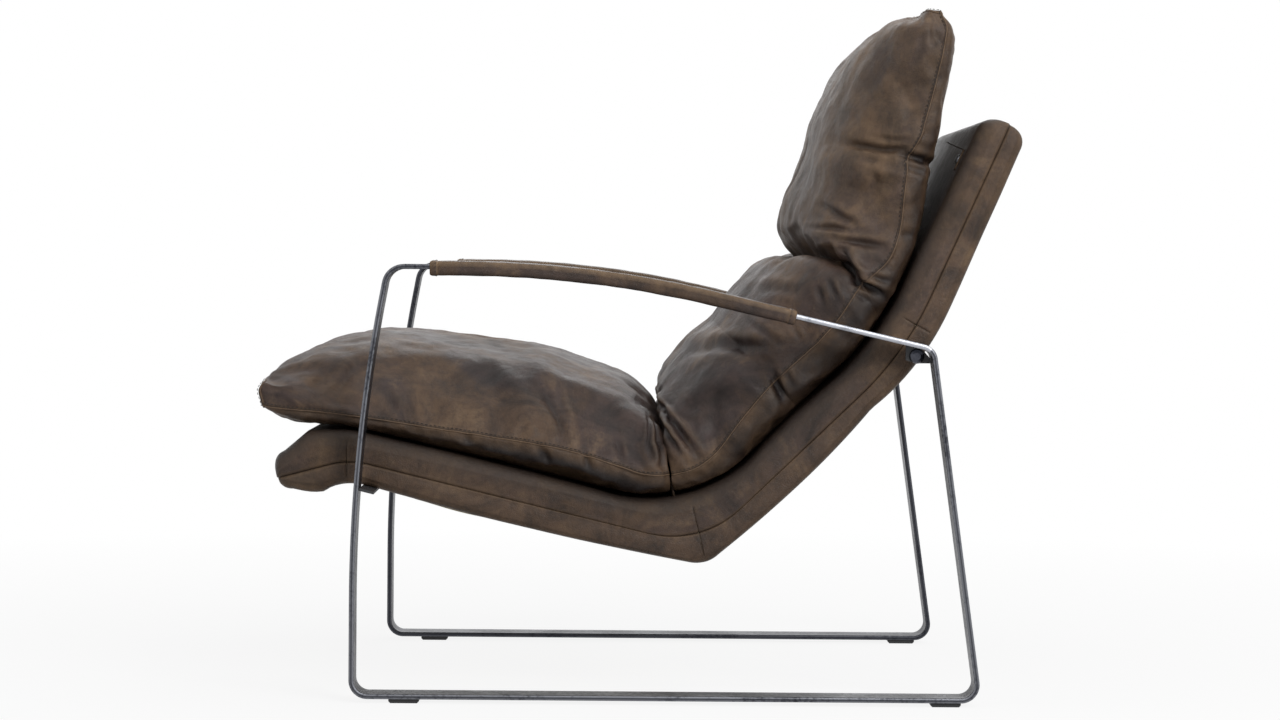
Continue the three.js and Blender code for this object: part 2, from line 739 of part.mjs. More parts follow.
// Dust cover under the seat, over the edges of the leather

function addDustCover() {
  const span = stationsBetween(shellStations, dustCoverStart, creaseAlong - dustCoverToCrease);
  const cover = loft(span, ({ belowLength }) => boxSection(dustCoverHalfWidth,
    -belowLength - clearance - dustCoverThickness, -belowLength - clearance));
  addPiece('dust_cover', cover, dustCloth);
}

// Bent side rails, cross rods and webbing inside the shell

function addShellFrame() {
  const bolt = boltPlace();
  const frontBolt = frontBoltFrame();
  const rail = loft(stationsBetween(shellStations, railStart, railEnd),
    () => circleSection(railX, -railDepth, railRadius, rodSteps));
  const socket = rod(frontBoltHole / 2, -belowSeat, belowSeat + frontBolt.tip + clearance)
    .rotateX(frontBolt.tilt).translate(railX, frontBolt.y, frontBolt.z);
  const drilled = cutAway(rail, [socket]);
  addPiece('shell_rail_left', drilled, steel);
  addPiece('shell_rail_right', mirrored(drilled), steel);

  const crossLength = 2 * (railX - railRadius - clearance);
  crossPlaces.forEach(([name, along]) => {
    const [, y, z] = placed(stationAt(shellStations, along), [0, -railDepth]);
    const cross = pointAcross(rod(railRadius, -crossLength / 2, crossLength), 1);
    addPiece(`shell_cross_${name}`, cross, steel, [0, y, z]);
  });

  const lugSpan = stationsBetween(shellStations,
    bendAlong + boltAlong - lugLength / 2, bendAlong + boltAlong + lugLength / 2);
  const lugX = railX + railRadius + clearance;
  const lugBody = loft(lugSpan, ({ belowLength }) => {
    const low = coverThickness + 2 * clearance - belowLength;
    return [[lugX, low], [lugX + lugThickness, low], [lugX + lugThickness, -lugTop], [lugX, -lugTop]];
  });
  const lug = cutAway(lugBody, [pointAcross(
    rod(boltHole / 2, -overrun, lugThickness + 2 * overrun), 1).translate(lugX, bolt.y, bolt.z)]);
  addPiece('shell_lug_left', lug, steel);
  addPiece('shell_lug_right', mirrored(lug), steel);
}

// Elastic straps, hooked over the two side rails
function addWebbing() {
  const hookEnd = -Math.PI / 4;
  const near = railRadius + clearance;
  const far = near + webbingThickness;
  const right = (radius) => arcPoints(railX, -railDepth, radius, hookEnd, Math.PI / 2, arcSteps);
  const left = (radius) => right(radius).map(([x, height]) => [-x, height]).reverse();
  const outline = [...right(far), ...left(far), ...left(near).reverse(), ...right(near).reverse()];
  const [front, crease, bend, top] = crossPlaces.map(([, along]) => along);
  const rows = [
    ['seat', front, crease, seatWebbingCount],
    ['lumbar', crease, bend, backWebbingCount],
    ['back', bend, top, backWebbingCount],
  ];
  rows.forEach(([row, start, end, count]) => {
    for (let i = 0; i < count; i += 1) {
      const middle = start + (end - start) * (i + 0.5) / count;
      const span = stationsBetween(shellStations, middle - webbingWidth / 2, middle + webbingWidth / 2);
      addPiece(`${row}_webbing_${i + 1}`, loft(span, () => outline), webbing);
    }
  });
}

// Rear fixings

function addRearFixings() {
  const bolt = boltPlace();
  const cornerIndex = frameCorners.indexOf(rearCorner);
  const under = frameInnerCorners[cornerIndex];
  const { arriving, leaving } = cornerTurn(frameInnerCorners, cornerIndex, true);
  const underRail = (y) => under.z - clearance + (y - under.y) * arriving[1] / arriving[0];
  const besideLeg = (z) => under.y - clearance + (z - under.z) * leaving[0] / leaving[1];
  const frontY = bolt.y - gussetReach;
  const lowZ = bolt.z - gussetDrop;
  const cornerZ = underRail(under.y - gussetChamfer);
  const outline = [
    [frontY, bolt.z - gussetRise], [bolt.y, lowZ], [besideLeg(lowZ), lowZ],
    [besideLeg(under.z - gussetChamfer), under.z - gussetChamfer],
    [under.y - gussetChamfer, cornerZ], [frontY, underRail(frontY)],
  ];
  const gussetX = barInnerX + gussetInset;
  const hole = arcPoints(bolt.y, bolt.z, boltHole / 2, 0, 2 * Math.PI * (roundSteps - 1) / roundSteps,
    roundSteps - 1);
  const gusset = plate(outline, [hole], gussetX, gussetThickness);

  const collarLength = gussetX - shellHalfWidth - 2 * clearance;
  const collar = cutAway(rod(collarDiameter / 2, 0, collarLength),
    [rod(boltHole / 2, -overrun, collarLength + 2 * overrun)]);
  const headX = gussetX + gussetThickness + clearance;
  const endX = railX + railRadius + clearance;
  const dome = arcPoints(0, 0, 1, 0, Math.PI / 2, edgeSteps).map(([radius, height]) =>
    [radius * boltHead / 2, boltHeadHeight * (boltEdgeShare + (1 - boltEdgeShare) * height)]);
  const boltBody = turned([
    [0, endX - headX], [boltShank / 2, endX - headX], [boltShank / 2, 0], [boltHead / 2, 0],
    ...dome.slice(0, -1), [0, boltHeadHeight],
  ]);
  sides.forEach(([side, sign]) => {
    addPiece(`rear_gusset_${side}`, sign > 0 ? gusset : mirrored(gusset), steel);
    addPiece(`rear_collar_${side}`, pointAcross(collar.clone(), sign), zinc,
      [sign * (shellHalfWidth + clearance), bolt.y, bolt.z]);
    addPiece(`rear_bolt_${side}`, pointAcross(boltBody.clone(), sign), steel, [sign * headX, bolt.y, bolt.z]);
  });
}

// Front fixings

function addFrontFixings() {
  const { tilt, startY, y, z, underAt, tip } = frontBoltFrame();
  const endY = startY + bracketLength;
  const top = (place) => underAt(place) - clearance;
  const outline = [
    [startY, top(startY) - bracketThickness], [endY, top(endY) - bracketThickness],
    [endY, top(endY)], [startY, top(startY)],
  ];
  const bracketInner = railX - bracketReach;
  const outerX = overallWidth / 2 - bracketLegMargin;
  const drill = rod(frontBoltHole / 2, -belowSeat, 2 * belowSeat).rotateX(tilt).translate(railX, y, z);
  const bracket = cutAway(plate(outline, [], bracketInner, outerX - bracketInner), [drill]);

  const headTop = -2 * clearance - bracketThickness;
  const bolt = turned([
    [0, headTop - frontBoltHeadHeight],
    [frontBoltHead / 2 - frontBoltChamfer, headTop - frontBoltHeadHeight],
    [frontBoltHead / 2, headTop - frontBoltHeadHeight + frontBoltChamfer], [frontBoltHead / 2, headTop],
    [frontBoltShank / 2, headTop], [frontBoltShank / 2, tip], [0, tip],
  ]).rotateX(tilt);
  sides.forEach(([side, sign]) => {
    addPiece(`front_bracket_${side}`, sign > 0 ? bracket : mirrored(bracket), steel);
    addPiece(`front_bolt_${side}`, bolt, zinc, [sign * railX, y, z]);
  });
}

// Cushions lie on a line just off the shell, which runs straight on past the knee

const onShell = aboveSeat + cushionGap;
const seatHalfWidth = shellHalfWidth - seatInset;
const backHalfWidth = shellHalfWidth - backInset;

function cushionLine() {
  const lean = Math.atan2(backHeading[1], backHeading[0]);
  const frontY = kneeY - seatHeading[0] * seatOverhang;
  const frontZ = kneeZ - seatHeading[1] * seatOverhang;
  const neckY = bendY + backHeading[0] * neckFromBend;
  const neckZ = bendZ + backHeading[1] * neckFromBend;
  const line = [
    corner(frontY, frontZ),
    corner(creaseY, creaseZ, creaseTopRadius + onShell, creaseSteps),
    corner(bendY, bendZ, bendRadius, bendSteps),
    corner(neckY, neckZ, neckRadius, bendSteps),
    corner(neckY + Math.cos(lean + headLean) * backTopFromNeck,
      neckZ + Math.sin(lean + headLean) * backTopFromNeck),
  ];
  // Any distance does for the lines beside it, since only their directions are used
  const base = offsetCorners(line, onShell);
  const beside = (distance) => roundedPath(offsetCorners(base, distance));
  return stationsOf(roundedPath(base), beside(-joinHeight), beside(joinHeight));
}

function cushionSection(halfWidth, seam, crown, overPower, lift = 0) {
  const bow = (angle, power) => {
    const c = Math.cos(angle);
    const s = Math.sin(angle);
    return [Math.sign(c) * Math.abs(c) ** (2 / power), Math.abs(s) ** (2 / power)];
  };
  const over = Array.from({ length: crownSteps }, (_, k) => {
    const [x, height] = bow(Math.PI * k / crownSteps, overPower);
    return [x * halfWidth, seam + (crown - seam) * height];
  });
  const under = Array.from({ length: underSteps }, (_, k) => {
    const [x, height] = bow(Math.PI * (1 + k / underSteps), underPower);
    return [x * halfWidth, seam + (lift - seam) * height];
  });
  return [...over, ...under];
}

function addCushions() {
  const line = cushionLine();
  const creaseStart = line[1].along;
  const split = creaseStart + cushionSplit;
  const halfJoin = joinThickness / 2 + clearance;

  const seatEnd = split - halfJoin;
  const seat = loft(
    Array.from({ length: seatStations + 1 }, (_, k) => {
      const share = (1 - Math.cos(Math.PI * k / seatStations)) / 2;
      return { ...stationAt(line, seatEnd * share), share };
    }),
    ({ share }) => {
      const draw = seatSideDraw * Math.sin(Math.PI * share);
      const width = seatHalfWidth * curveAt(seatWidthShares, share) - draw;
      const crown = seatCrown * curveAt(seatCrownShares, share);
      const seam = seatCrown * curveAt(seatSeamShares, share);
      return cushionSection(width, seam, crown, curveAt(seatPowerShares, share));
    });
  addPiece('seat_cushion', seat, cushionLeather);

  const backStart = split + halfJoin;
  const backLength = line.at(-1).along - backStart;
  const bounds = [0, ...channelShares, 1];
  const pillows = bounds.slice(1).flatMap((end, i) => Array.from({ length: pillowStations }, (_, k) => {
    const inPillow = (1 - Math.cos(Math.PI * k / pillowStations)) / 2;
    return { share: bounds[i] + (end - bounds[i]) * inPillow, inPillow };
  }));
  const back = loft(
    [...pillows, { share: 1, inPillow: 1 }].map((place) =>
      ({ ...stationAt(line, backStart + backLength * place.share), ...place })),
    ({ share, inPillow }) => {
      const pull = bounds.reduce((most, channel) =>
        Math.max(most, 1 - Math.abs(share - channel) / channelHalfShare), 0);
      const draw = pillowDraw * Math.sin(Math.PI * inPillow) + channelDraw * pull;
      return cushionSection(backHalfWidth - draw, backCrown * curveAt(backSeamShares, share),
        backCrown * curveAt(backCrownShares, share), curveAt(backPowerShares, share),
        backCrown * curveAt(backLiftShares, share));
    });
  addPiece('back_cushion', back, cushionLeather);

  const strip = loft(stationsBetween(line, split - joinThickness / 2, split + joinThickness / 2),
    () => boxSection(backHalfWidth - joinSide, clearance, joinHeight));
  addPiece('cushion_join', strip, cushionLeather);
}

// Head straps and their snaps

function addStraps() {
  const strapX = shellHalfWidth - strapInset;
  const foot = stationAt(shellStations, shellLength - strapBelowTop);
  const lift = foot.aboveLength + 2 * clearance;
  const section = () => boxSection(strapWidth / 2, lift, lift + strapThickness);
  const span = stationsBetween(shellStations, foot.along, foot.along + strapFoot);
  const [reachY, reachZ] = [strapRise * foot.above[0], strapRise * foot.above[1]];
  const head = span.at(-1);
  const strap = loft([...span, { ...head, y: head.y + reachY, z: head.z + reachZ }], section);
  const [, lowY, lowZ] = placed(foot, [0, lift + strapThickness]);
  const [, highY, highZ] = placed(head, [0, lift + strapThickness]);
  const tilt = Math.atan2(highZ - lowZ, highY - lowY);
  const snapY = (lowY + highY) / 2 - Math.sin(tilt) * clearance;
  const snapZ = (lowZ + highZ) / 2 + Math.cos(tilt) * clearance;
  const snap = turned([
    [0, 0], [snapDiameter / 2, 0], [snapDiameter / 2, snapEdge],
    [snapTopDiameter / 2, snapHeight], [0, snapHeight],
  ]).rotateX(tilt);
  sides.forEach(([side, sign]) => {
    addPiece(`head_strap_${side}`, strap, shellLeather, [sign * strapX, 0, 0]);
    addPiece(`strap_snap_${side}`, snap, zinc, [sign * strapX, snapY, snapZ]);
  });
}

addSideFrames();
addGlides();
addArmSleeves();
addShell();
addDustCover();
addShellFrame();
addWebbing();
addRearFixings();
addFrontFixings();
addCushions();
addStraps();

export default chair;
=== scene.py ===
"""Leather lounge chair around its CAD frame: steel loops, padded leather shell, loose cushions.

Lengths below are millimetres, as in the part's source, and become metres in the meshes.
X runs across the chair, the sitter faces -Y and sits with the left arm at +X, Z is up.
"""

import math
from collections import namedtuple
from functools import cached_property

import bpy
import numpy as np
from mathutils import Matrix, Vector, noise


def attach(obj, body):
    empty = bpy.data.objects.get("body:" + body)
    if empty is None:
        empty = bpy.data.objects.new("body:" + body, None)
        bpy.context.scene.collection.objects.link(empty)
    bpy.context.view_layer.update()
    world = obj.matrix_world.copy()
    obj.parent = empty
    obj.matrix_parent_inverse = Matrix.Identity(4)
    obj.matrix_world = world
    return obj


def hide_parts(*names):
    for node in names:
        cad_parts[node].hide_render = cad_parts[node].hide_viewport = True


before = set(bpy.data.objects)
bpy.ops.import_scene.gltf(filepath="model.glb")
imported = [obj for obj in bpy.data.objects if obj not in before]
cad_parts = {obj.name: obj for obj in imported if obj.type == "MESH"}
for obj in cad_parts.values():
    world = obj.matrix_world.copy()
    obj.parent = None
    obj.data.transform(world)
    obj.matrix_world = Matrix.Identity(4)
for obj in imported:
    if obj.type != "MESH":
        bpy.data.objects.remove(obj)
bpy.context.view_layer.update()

MM = 0.001
SIDES = (("left", 1.0), ("right", -1.0))
ARC_STEPS = 12
BOW_STEPS = 24
CREASE_STEPS = 24
BEND_STEPS = 16

Corner = namedtuple("Corner", "y z radius steps", defaults=(0.0, 1))

# Camera in metres, as the photograph was taken
CAMERA_PLACE = (4.360, -0.0175, 0.5375)
FOCAL_PIXELS = 3408.7
FRAME_WIDTH = 1280
SENSOR_WIDTH = 36.0
CLIP_END = 50.0
ROLL = math.radians(0.46)
AIM_PIXELS = (15.0, 110.0)  # image centre, right of and below the point straight ahead

# Light and floor, in metres and watts
WHITE = (1.0, 1.0, 1.0, 1.0)
AMBIENT = 0.3
FLOOR_WHITE = 0.88
FLOOR_PALE = 0.86
FLOOR_BOUNCE = 0.42
SHADOW_NEAR = 0.6
SHADOW_FAR = 2.2
FLOOR_REACH = 14.0
LAMPS = (
    # name, place, aim, the lamp's two sizes, power
    ("overhead", (0.6, 0.5, 2.9), (0.0, 0.0, 0.3), 2.6, 2.2, 15.0),
    ("front_side", (2.6, -2.4, 1.6), (0.0, 0.0, 0.4), 1.8, 1.8, 9.0),
    ("rear_side", (2.8, 1.5, 1.9), (0.0, 0.1, 0.4), 1.6, 1.6, 60.0),
    ("far_side", (-2.8, 0.2, 1.9), (0.0, 0.0, 0.4), 1.8, 1.8, 12.0),
)

# Side frames
HALF_OVERALL = 350.0
BAR_WIDTH = 45.0
BAR_THICKNESS = 6.0
HALF_BAR = BAR_THICKNESS / 2
FRAME_MIDDLE = HALF_OVERALL - BAR_WIDTH / 2
REAR_CORNER = Corner(350.0, 426.0, 20.0, ARC_STEPS)
ARM_BOW = Corner(-56.0, 519.0, 1344.0, BOW_STEPS)
FRAME_CORNERS = (
    Corner(-340.0, 5.0, 22.0, ARC_STEPS),  # front of the floor rail
    Corner(-340.0, 302.0, 1950.0, BOW_STEPS),  # bow of the front leg
    Corner(-299.0, 519.0, 26.0, ARC_STEPS),  # front of the arm
    ARM_BOW,
    REAR_CORNER,
    Corner(409.0, 5.0, 22.0, ARC_STEPS),  # rear of the floor rail
)
BAR_CHAMFER = 1.1
BAR_SINK = 0.25
BAR_WORN_BAND = 4.0
BAR_STEP = 12.0
POLISH_START = 150.0
POLISH_BEFORE_CORNER = 4.0
POLISH_BELOW_CORNER = 8.0
# Painted shade on the bars' narrow edge faces: how near an edge it reaches, and its share on the outer face
SHADED_EDGE = 3.0
OUTER_SHADE = 0.62

# Arm sleeves
SLEEVE_START = 30.4
SLEEVE_LENGTH = 437.0
SLEEVE_SIDE = 3.4
SLEEVE_ABOVE = 3.4
SLEEVE_BELOW = 7.0
SLEEVE_RADIUS = 5.0
SLEEVE_CORNER_STEPS = 6
SLEEVE_AROUND = 73
SLEEVE_PUFF = 0.9
UNDER_PUFF_SHARE = 0.6
SLEEVE_SOFT = 0.55
SLEEVE_SOFT_ACROSS = 26.0
SLEEVE_SOFT_ALONG = 20.0
SLEEVE_STEP = 5.0
SLEEVE_HEM = 9.0
HEM_STITCHES = SLEEVE_HEM - 2.2
HEM_STITCH_RAISE = 0.35
END_INSET = 0.6
END_GAP = 0.3
END_WEAR = 0.2
HEM_PROFILE = (
    # from the sleeve's end, inset, how much the hem adds
    (0.0, 2.0, 0), (0.3, 0.8, 0), (1.2, 0.2, 0), (2.6, 0, 0.35), (5, 0, 0.45), (7.6, 0, 0.35),
    (SLEEVE_HEM - 0.5, 0, 0.1), (SLEEVE_HEM, 0.55, 0), (SLEEVE_HEM + 1.2, 0.15, 0),
)

# Shell
SHELL_HALF_WIDTH = 290.0
LIP = Corner(-417.4, 266.0)
KNEE = Corner(-346.0, 285.0, 90.0, ARC_STEPS)
CREASE = Corner(76.0, 184.0, 120.0, CREASE_STEPS)
BEND = Corner(317.0, 416.5, 430.0, BEND_STEPS)
SHELL_TOP = Corner(432.3, 672.8)
LIP_FULL_SHARE = 0.48
LOWER_BACK_SHARE = 0.78
BELOW = np.array([15.0, 26.0, 26.0, 22.6, 22.0, 29.0, 25.0])
ABOVE = np.array([27.0, 44.0, 32.0, 32.0, 32.0, 32.0, 32.0])
CREASE_UNDER_RADIUS = 40.0
CREASE_TOP_RADIUS = 180.0
LIP_ROUNDS = (14.0, 11.0, 17.0)  # along, below and above the seam
TOP_ROUNDS = (20.0, 21.0, 25.0)
UNDER_CORNER = 9.0
TOP_CORNER = 16.0
BACK_CORNER = 18.5
END_STEPS = 8
SHELL_START_SHARE = 0.12  # of the way to the second station
SHELL_STEP = 7.5
SHELL_LEATHER = 1.2
SIDE_COUNT = 12
CORNER_COUNT = 8
FLAT_COUNT = 41
NEAR_SEAM = np.array([0.0, 0.6, 1.4, 2.6, 4.2])  # heights of a side's points close to its seam
NEAR_SEAM_SHARE = 2 / 3  # the most that these points take of a low side
BESIDE_CROSS_SEAM = (-4.5, -3, -2, -1.2, -0.5, 0, 0.5, 1.2, 2, 3, 4.5)
WALL_COUNT = len(NEAR_SEAM) + SIDE_COUNT
FLAT_START = WALL_COUNT + CORNER_COUNT
CORNER_ROOM = 0.9  # the most that a rounded edge takes of a low side
BROAD_ALONG, BROAD_UP = 60.0, 24.0
FINE_ALONG, FINE_UP = 14.0, 16.0
SIDE_SWELL = 1.7
SIDE_SOFT = 0.8
FINE_SOFT = 0.25
FINE_SOFT_FROM = 5.0
FLAT_SOFT = 0.35
FLAT_HOLLOW = 0.3
FLAT_SOFT_FROM = 0.2  # share of the half-width, on the lower leather
CROSS_SEAM_HALF = 1.1
CROSS_SEAM_SINK = 1.2
CROSS_SEAM_WEAR = 0.3
CROSS_SEAM_SHADE = 0.6
PUCKER_HALF = 9.0
PUCKER_SOFT = 0.5
# Painted shade on the shell's upper side next to the cushions
CUSHION_SHADE = ((0.3667, 1.0), (0.0, 0.9025))  # shares of the height, shades
LOWER_WARMTH = 0.55
LEAST_HEIGHT = 1e-6  # keeps a point on its own side of the seam
SEAM_STITCH_HEIGHT = 3.9
SEAM_STITCH_RAISE = 0.3315
SEAM_STITCH_STEP = 4.0

# Dust cover
DUST_INSET = 28.0
DUST_START = 128.0
DUST_OVERLAP = 15.0
DUST_TO_CREASE = 40.0
DUST_GAP = 1.3
DUST_SLACK = 1.6
DUST_FREE_FROM = 60.0
DUST_RIPPLE_PITCH = 2.6
DUST_CLOTH_THICKNESS = 0.5
DUST_COUNTS = (70, 72)

# Cushions. Tables run along a cushion by shares of its length.
ACROSS = 90  # points from side seam to side seam
RING = 2 * ACROSS
CAP_ROWS = 5
BOW_POINTS = 600
ABOVE_SEAT = 32.0
CUSHION_GAP = 0.8
CUSHION_REST = 0.4
CASE_INSET = 1.0
CASE_SWELL = 3.0
SEAT_HALF_WIDTH = SHELL_HALF_WIDTH - 11.0
SEAT_OVERHANG = 123.8
SEAT_CROWN = 144.0
SEAT_SIDE_DRAW = 7.0
BACK_HALF_WIDTH = SHELL_HALF_WIDTH - 13.0
BACK_CROWN = 155.0
PILLOW_DRAW = 4.5
CUSHION_SPLIT = 74.0
HEAD_LEAN = math.radians(14.0)
NECK_FROM_BEND = 130.0
BACK_TOP_FROM_NECK = 282.0
NECK_RADIUS = 320.0
JOIN_THICKNESS = 3.0
JOIN_GAP = 0.3
JOIN_INSET = 0.2
JOIN_HEIGHT = 24.0
JOIN_SIDE = 22.0
JOIN_WAVE = 0.075
JOIN_WAVE_LENGTH = 7.0
JOIN_COUNTS = (90, 7)
SEAT_CROWNS = (
    (0, 0.28), (0.013, 0.315), (0.03, 0.365), (0.057, 0.45), (0.1, 0.57), (0.145, 0.665),
    (0.193, 0.745), (0.242, 0.8), (0.344, 0.865), (0.446, 0.91), (0.547, 0.95), (0.62, 0.98),
    (0.705, 0.945), (0.813, 0.925), (0.892, 0.885), (0.956, 0.85), (0.985, 0.8), (1, 0.68),
)
SEAT_SEAMS = ((0, 0.03), (0.15, 0.1), (0.41, 0.19), (0.7, 0.275), (0.84, 0.26), (1, 0.2))
SEAT_WIDTHS = ((0, 0.965), (0.02, 0.99), (0.06, 1), (0.94, 1), (0.98, 0.99), (1, 0.96))
SEAT_POWERS = ((0, 8), (0.03, 5.5), (0.1, 3), (0.2, 2.25), (0.95, 2.25), (1, 2.6))
SEAT_ROWS = np.concatenate(([0, 0.006, 0.014], np.linspace(0.024, 0.976, 84), [0.986, 0.994, 1]))
DEEP_CHANNEL = 0.467
CHANNELS = (0.262, DEEP_CHANNEL, 0.752)
BACK_CROWNS = (
    (0, 0.72), (0.013, 0.82), (0.06, 0.875), (0.16, 0.915), (0.21, 0.94), (0.262, 0.93),
    (0.3, 0.965), (0.36, 0.985), (0.425, 0.97), (0.452, 0.925), (0.467, 0.8), (0.476, 0.9),
    (0.5, 0.965), (0.56, 0.99), (0.65, 1), (0.69, 0.965), (0.73, 0.938), (0.752, 0.918),
    (0.805, 0.893), (0.86, 0.832), (0.892, 0.778), (0.922, 0.715), (0.954, 0.63), (0.98, 0.52),
    (1, 0.35),
)
BACK_SEAMS = (
    (0, 0.18), (0.06, 0.18), (0.18, 0.28), (0.26, 0.315), (0.4, 0.3), (0.467, 0.3), (0.57, 0.19),
    (0.72, 0.225), (0.752, 0.24), (0.8, 0.17), (0.98, 0.13), (1, 0.2),
)
BACK_LIFTS = ((0, 0), (0.93, 0), (0.965, 0.02), (0.985, 0.08), (1, 0.17))
BACK_POWERS = ((0, 2.6), (0.06, 2.25), (0.84, 2.3), (0.94, 3.2), (1, 5))
BACK_ROWS = np.unique(np.round(np.concatenate((
    [0, 0.005, 0.012], np.linspace(0.02, 0.982, 112), [0.99, 0.995, 1], CHANNELS,
    [DEEP_CHANNEL + step for step in (-0.009, -0.004, 0.004, 0.009)])), 4))
CHANNEL_HALF = 0.03
CHANNEL_DRAW = 10.0
UNDER_POWER = 5.0
SIDE_CROWDING = 0.5
FRONT_INSET = 9.5
FRONT_SIDE_SHARE = 0.11
FRONT_BLEND_SHARE = 0.06
FRONT_SHARE = 0.03
FRONT_EARS = (2.5, 1.5)  # how far the corners stand out, and the middle back
HEAD_SHARE = 0.02
HEAD_EARS = (1.5, 0.0)
EAR_HALF = 0.16
EAR_MIDDLE_HALF = 0.3
DEEP_FROM_SIDE = 0.12
DEEP_SHADE_HALF = 0.006
SWELL_FRAMES = 20
SWELL_MOST = 9.0
CLOTH = {
    "quality": 5, "mass": 0.3, "tension_stiffness": 18.0, "compression_stiffness": 18.0,
    "shear_stiffness": 9.0, "bending_stiffness": 0.5, "air_damping": 2.0, "use_pressure": True,
    "uniform_pressure_force": 3.0, "vertex_group_mass": "held", "shrink_min": -0.055,
    "shrink_max": -0.055,
}
LUMPS = ((62.0, 3.2, 0), (26.0, 1.7, 9), (11.0, 0.5, 4))  # size, height, added to the seed
UNDER_LUMP_SHARE = 0.5
UNDER_LUMP_FROM = 8.0
SEAT_SEED = 5.0
BACK_SEED = 21.0

# How firmly points are held in the simulation
REST_HEIGHT = 7.0  # the underside below this height rests on the shell
REST_SHARE = 0.9
HANG_HELD = 0.3
FRONT_HELD = 0.55
END_HELD = 0.9
HEAD_HELD = 0.5
CHANNEL_HELD = 0.9
CHANNEL_HELD_LEAST = 0.08
CHANNEL_HELD_REACH = 0.35

# Wear, dark seams and painted shade of the cushions
PALER_FROM = 500  # height above which the back cushion is paler
PALER_BLEND = 90
AT_SEAM = 0.3
RIDGE_WEAR = 0.12
RIDGE_MOST = 3.0
FOLD_SHADE = 0.13
FOLD_MOST = 6.0
DIP_SHADE = 0.6
BOX_SHADE_DEPTH = 16.0
BOX_SHADE_LEAST = 0.25

# Folds
FOLD_SCALE = 1.3
FOLD_REACH = 5.0  # in widths of the fold
RIDGE_REACH = 3.2
FOLD_POWER = 0.6
FOLD_ENDS = (0.08, 0.96)  # of half a wave, over which a fold deepens and fades
FAR_FROM_FOLDS = -500.0
FAR_SLIP = 9.0
FAR_HEIGHT = 0.94
FAR_DEPTH = 0.9

# Sewing
STITCH_PITCH = 5.2
STITCH_LENGTH = 3.5
STITCH_RADIUS = 0.45
STITCH_DIP = 0.25
STITCH_AROUND = 6
STITCH_SHARES = np.array([-1.0, -0.72, 0.0, 0.72, 1.0])
STITCH_FROM_SEAM = 2.6
STITCH_ABOVE_SEAM = 0.15
SEAM_HALF = 1.9
SEAM_LEATHER = 1.0
SEAM_DETAIL = 2.5  # points for each point of the mesh
SEAM_PROFILE = np.array([
    # across and above the leather, wear, shade
    (-1.0, -0.9, 0, 0.1), (-0.6, 0.12, 0.05, 0.25), (-0.25, 0.1, 0, 0.8), (0.0, -0.5, 0, 1.0),
    (0.2, 0.3, 0.35, 0.35), (0.5, 0.55, 0.55, 0), (0.78, 0.25, 0.15, 0), (1.0, -0.9, 0, 0),
])

# Soft marks and sags beside a line: strength, distance from the line, half-width
SLEEVE_EDGE_WEAR = (0.75, -2.2, 2.6)
SLEEVE_END_WEAR = (0.55, 1.0, 1.6)
SLEEVE_HEM_WEAR = (0.55, SLEEVE_HEM, 1.2)
SEAM_SINK = (1.5, 0.0, 1.3)
SEAM_RIDGE = (0.35, 3.0, 1.4)
SEAM_WEAR = (0.3, 1.8, 1.4)
SEAM_SHADE = (0.9, 0.0, 0.9)
CORNER_WEAR = (0.15, -0.45, 0.6)  # in radii below the flat
LIP_SAG = (6.0, 22.0, 26.0)
# painted bounce light: the lower leather paler at the lip, where light from the floor falls on it
LIP_PAINTED_LIGHT = (0.16, 0.0, 50.0)
DUST_SAG = (7.0, 70.0, 55.0)
DUST_RIPPLE = (0.35, 4.0, 5.0)
SEAT_SAG = (8.5, 0.1, 0.085)
CHANNEL_WARP = (44.0, DEEP_CHANNEL, 0.075)
DEEP_FOLD = (17.0, DEEP_CHANNEL, 0.008)
FOLD_RIDGES = ((0.7, 2.1, 1.2), (0.4, -2.2, 1.3))  # in widths of the fold

# Straps at the head
STRAP_EDGE_WEAR = 0.6
STRAP_WEAR = 0.05
STRAP_THICKNESS = 1.6
STRAP_WIDTH = 20.0
STRAP_INSET = 58.0
STRAP_BELOW_TOP = 53.0
STRAP_FOOT = 26.0
STRAP_RISE = 21.0
STRAP_GAP = 0.6
STRAP_ROWS = 8
STRAP_ACROSS = 9


# Paths in the side view, as in the part's source

def heading(a, b):
    """Direction from one corner to another, and the distance."""
    length = math.hypot(b.y - a.y, b.z - a.z)
    return (b.y - a.y) / length, (b.z - a.z) / length, length


def corner_turn(corners, index, closed):
    """Heading into a corner, heading out of it, and the turn between the two."""
    at = corners[index]
    before = corners[index - 1]
    after = corners[(index + 1) % len(corners)]
    leaving = heading(at, after) if closed or index < len(corners) - 1 else heading(before, at)
    arriving = heading(before, at) if closed or index > 0 else leaving
    turn = math.atan2(arriving[0] * leaving[1] - arriving[1] * leaving[0],
                      arriving[0] * leaving[0] + arriving[1] * leaving[1])
    return arriving, leaving, turn


def offset_corners(corners, distances, closed=False):
    """The line beside a line, on its left where the distances are positive."""
    moved = []
    for index, distance in enumerate(np.broadcast_to(distances, len(corners))):
        at = corners[index]
        arriving, leaving, turn = corner_turn(corners, index, closed)
        reach = distance / (1 + math.cos(turn))
        moved.append(at._replace(
            y=at.y - (arriving[1] + leaving[1]) * reach,
            z=at.z + (arriving[0] + leaving[0]) * reach,
            radius=max(at.radius - math.copysign(1, turn) * distance, 0.0)))
    return moved


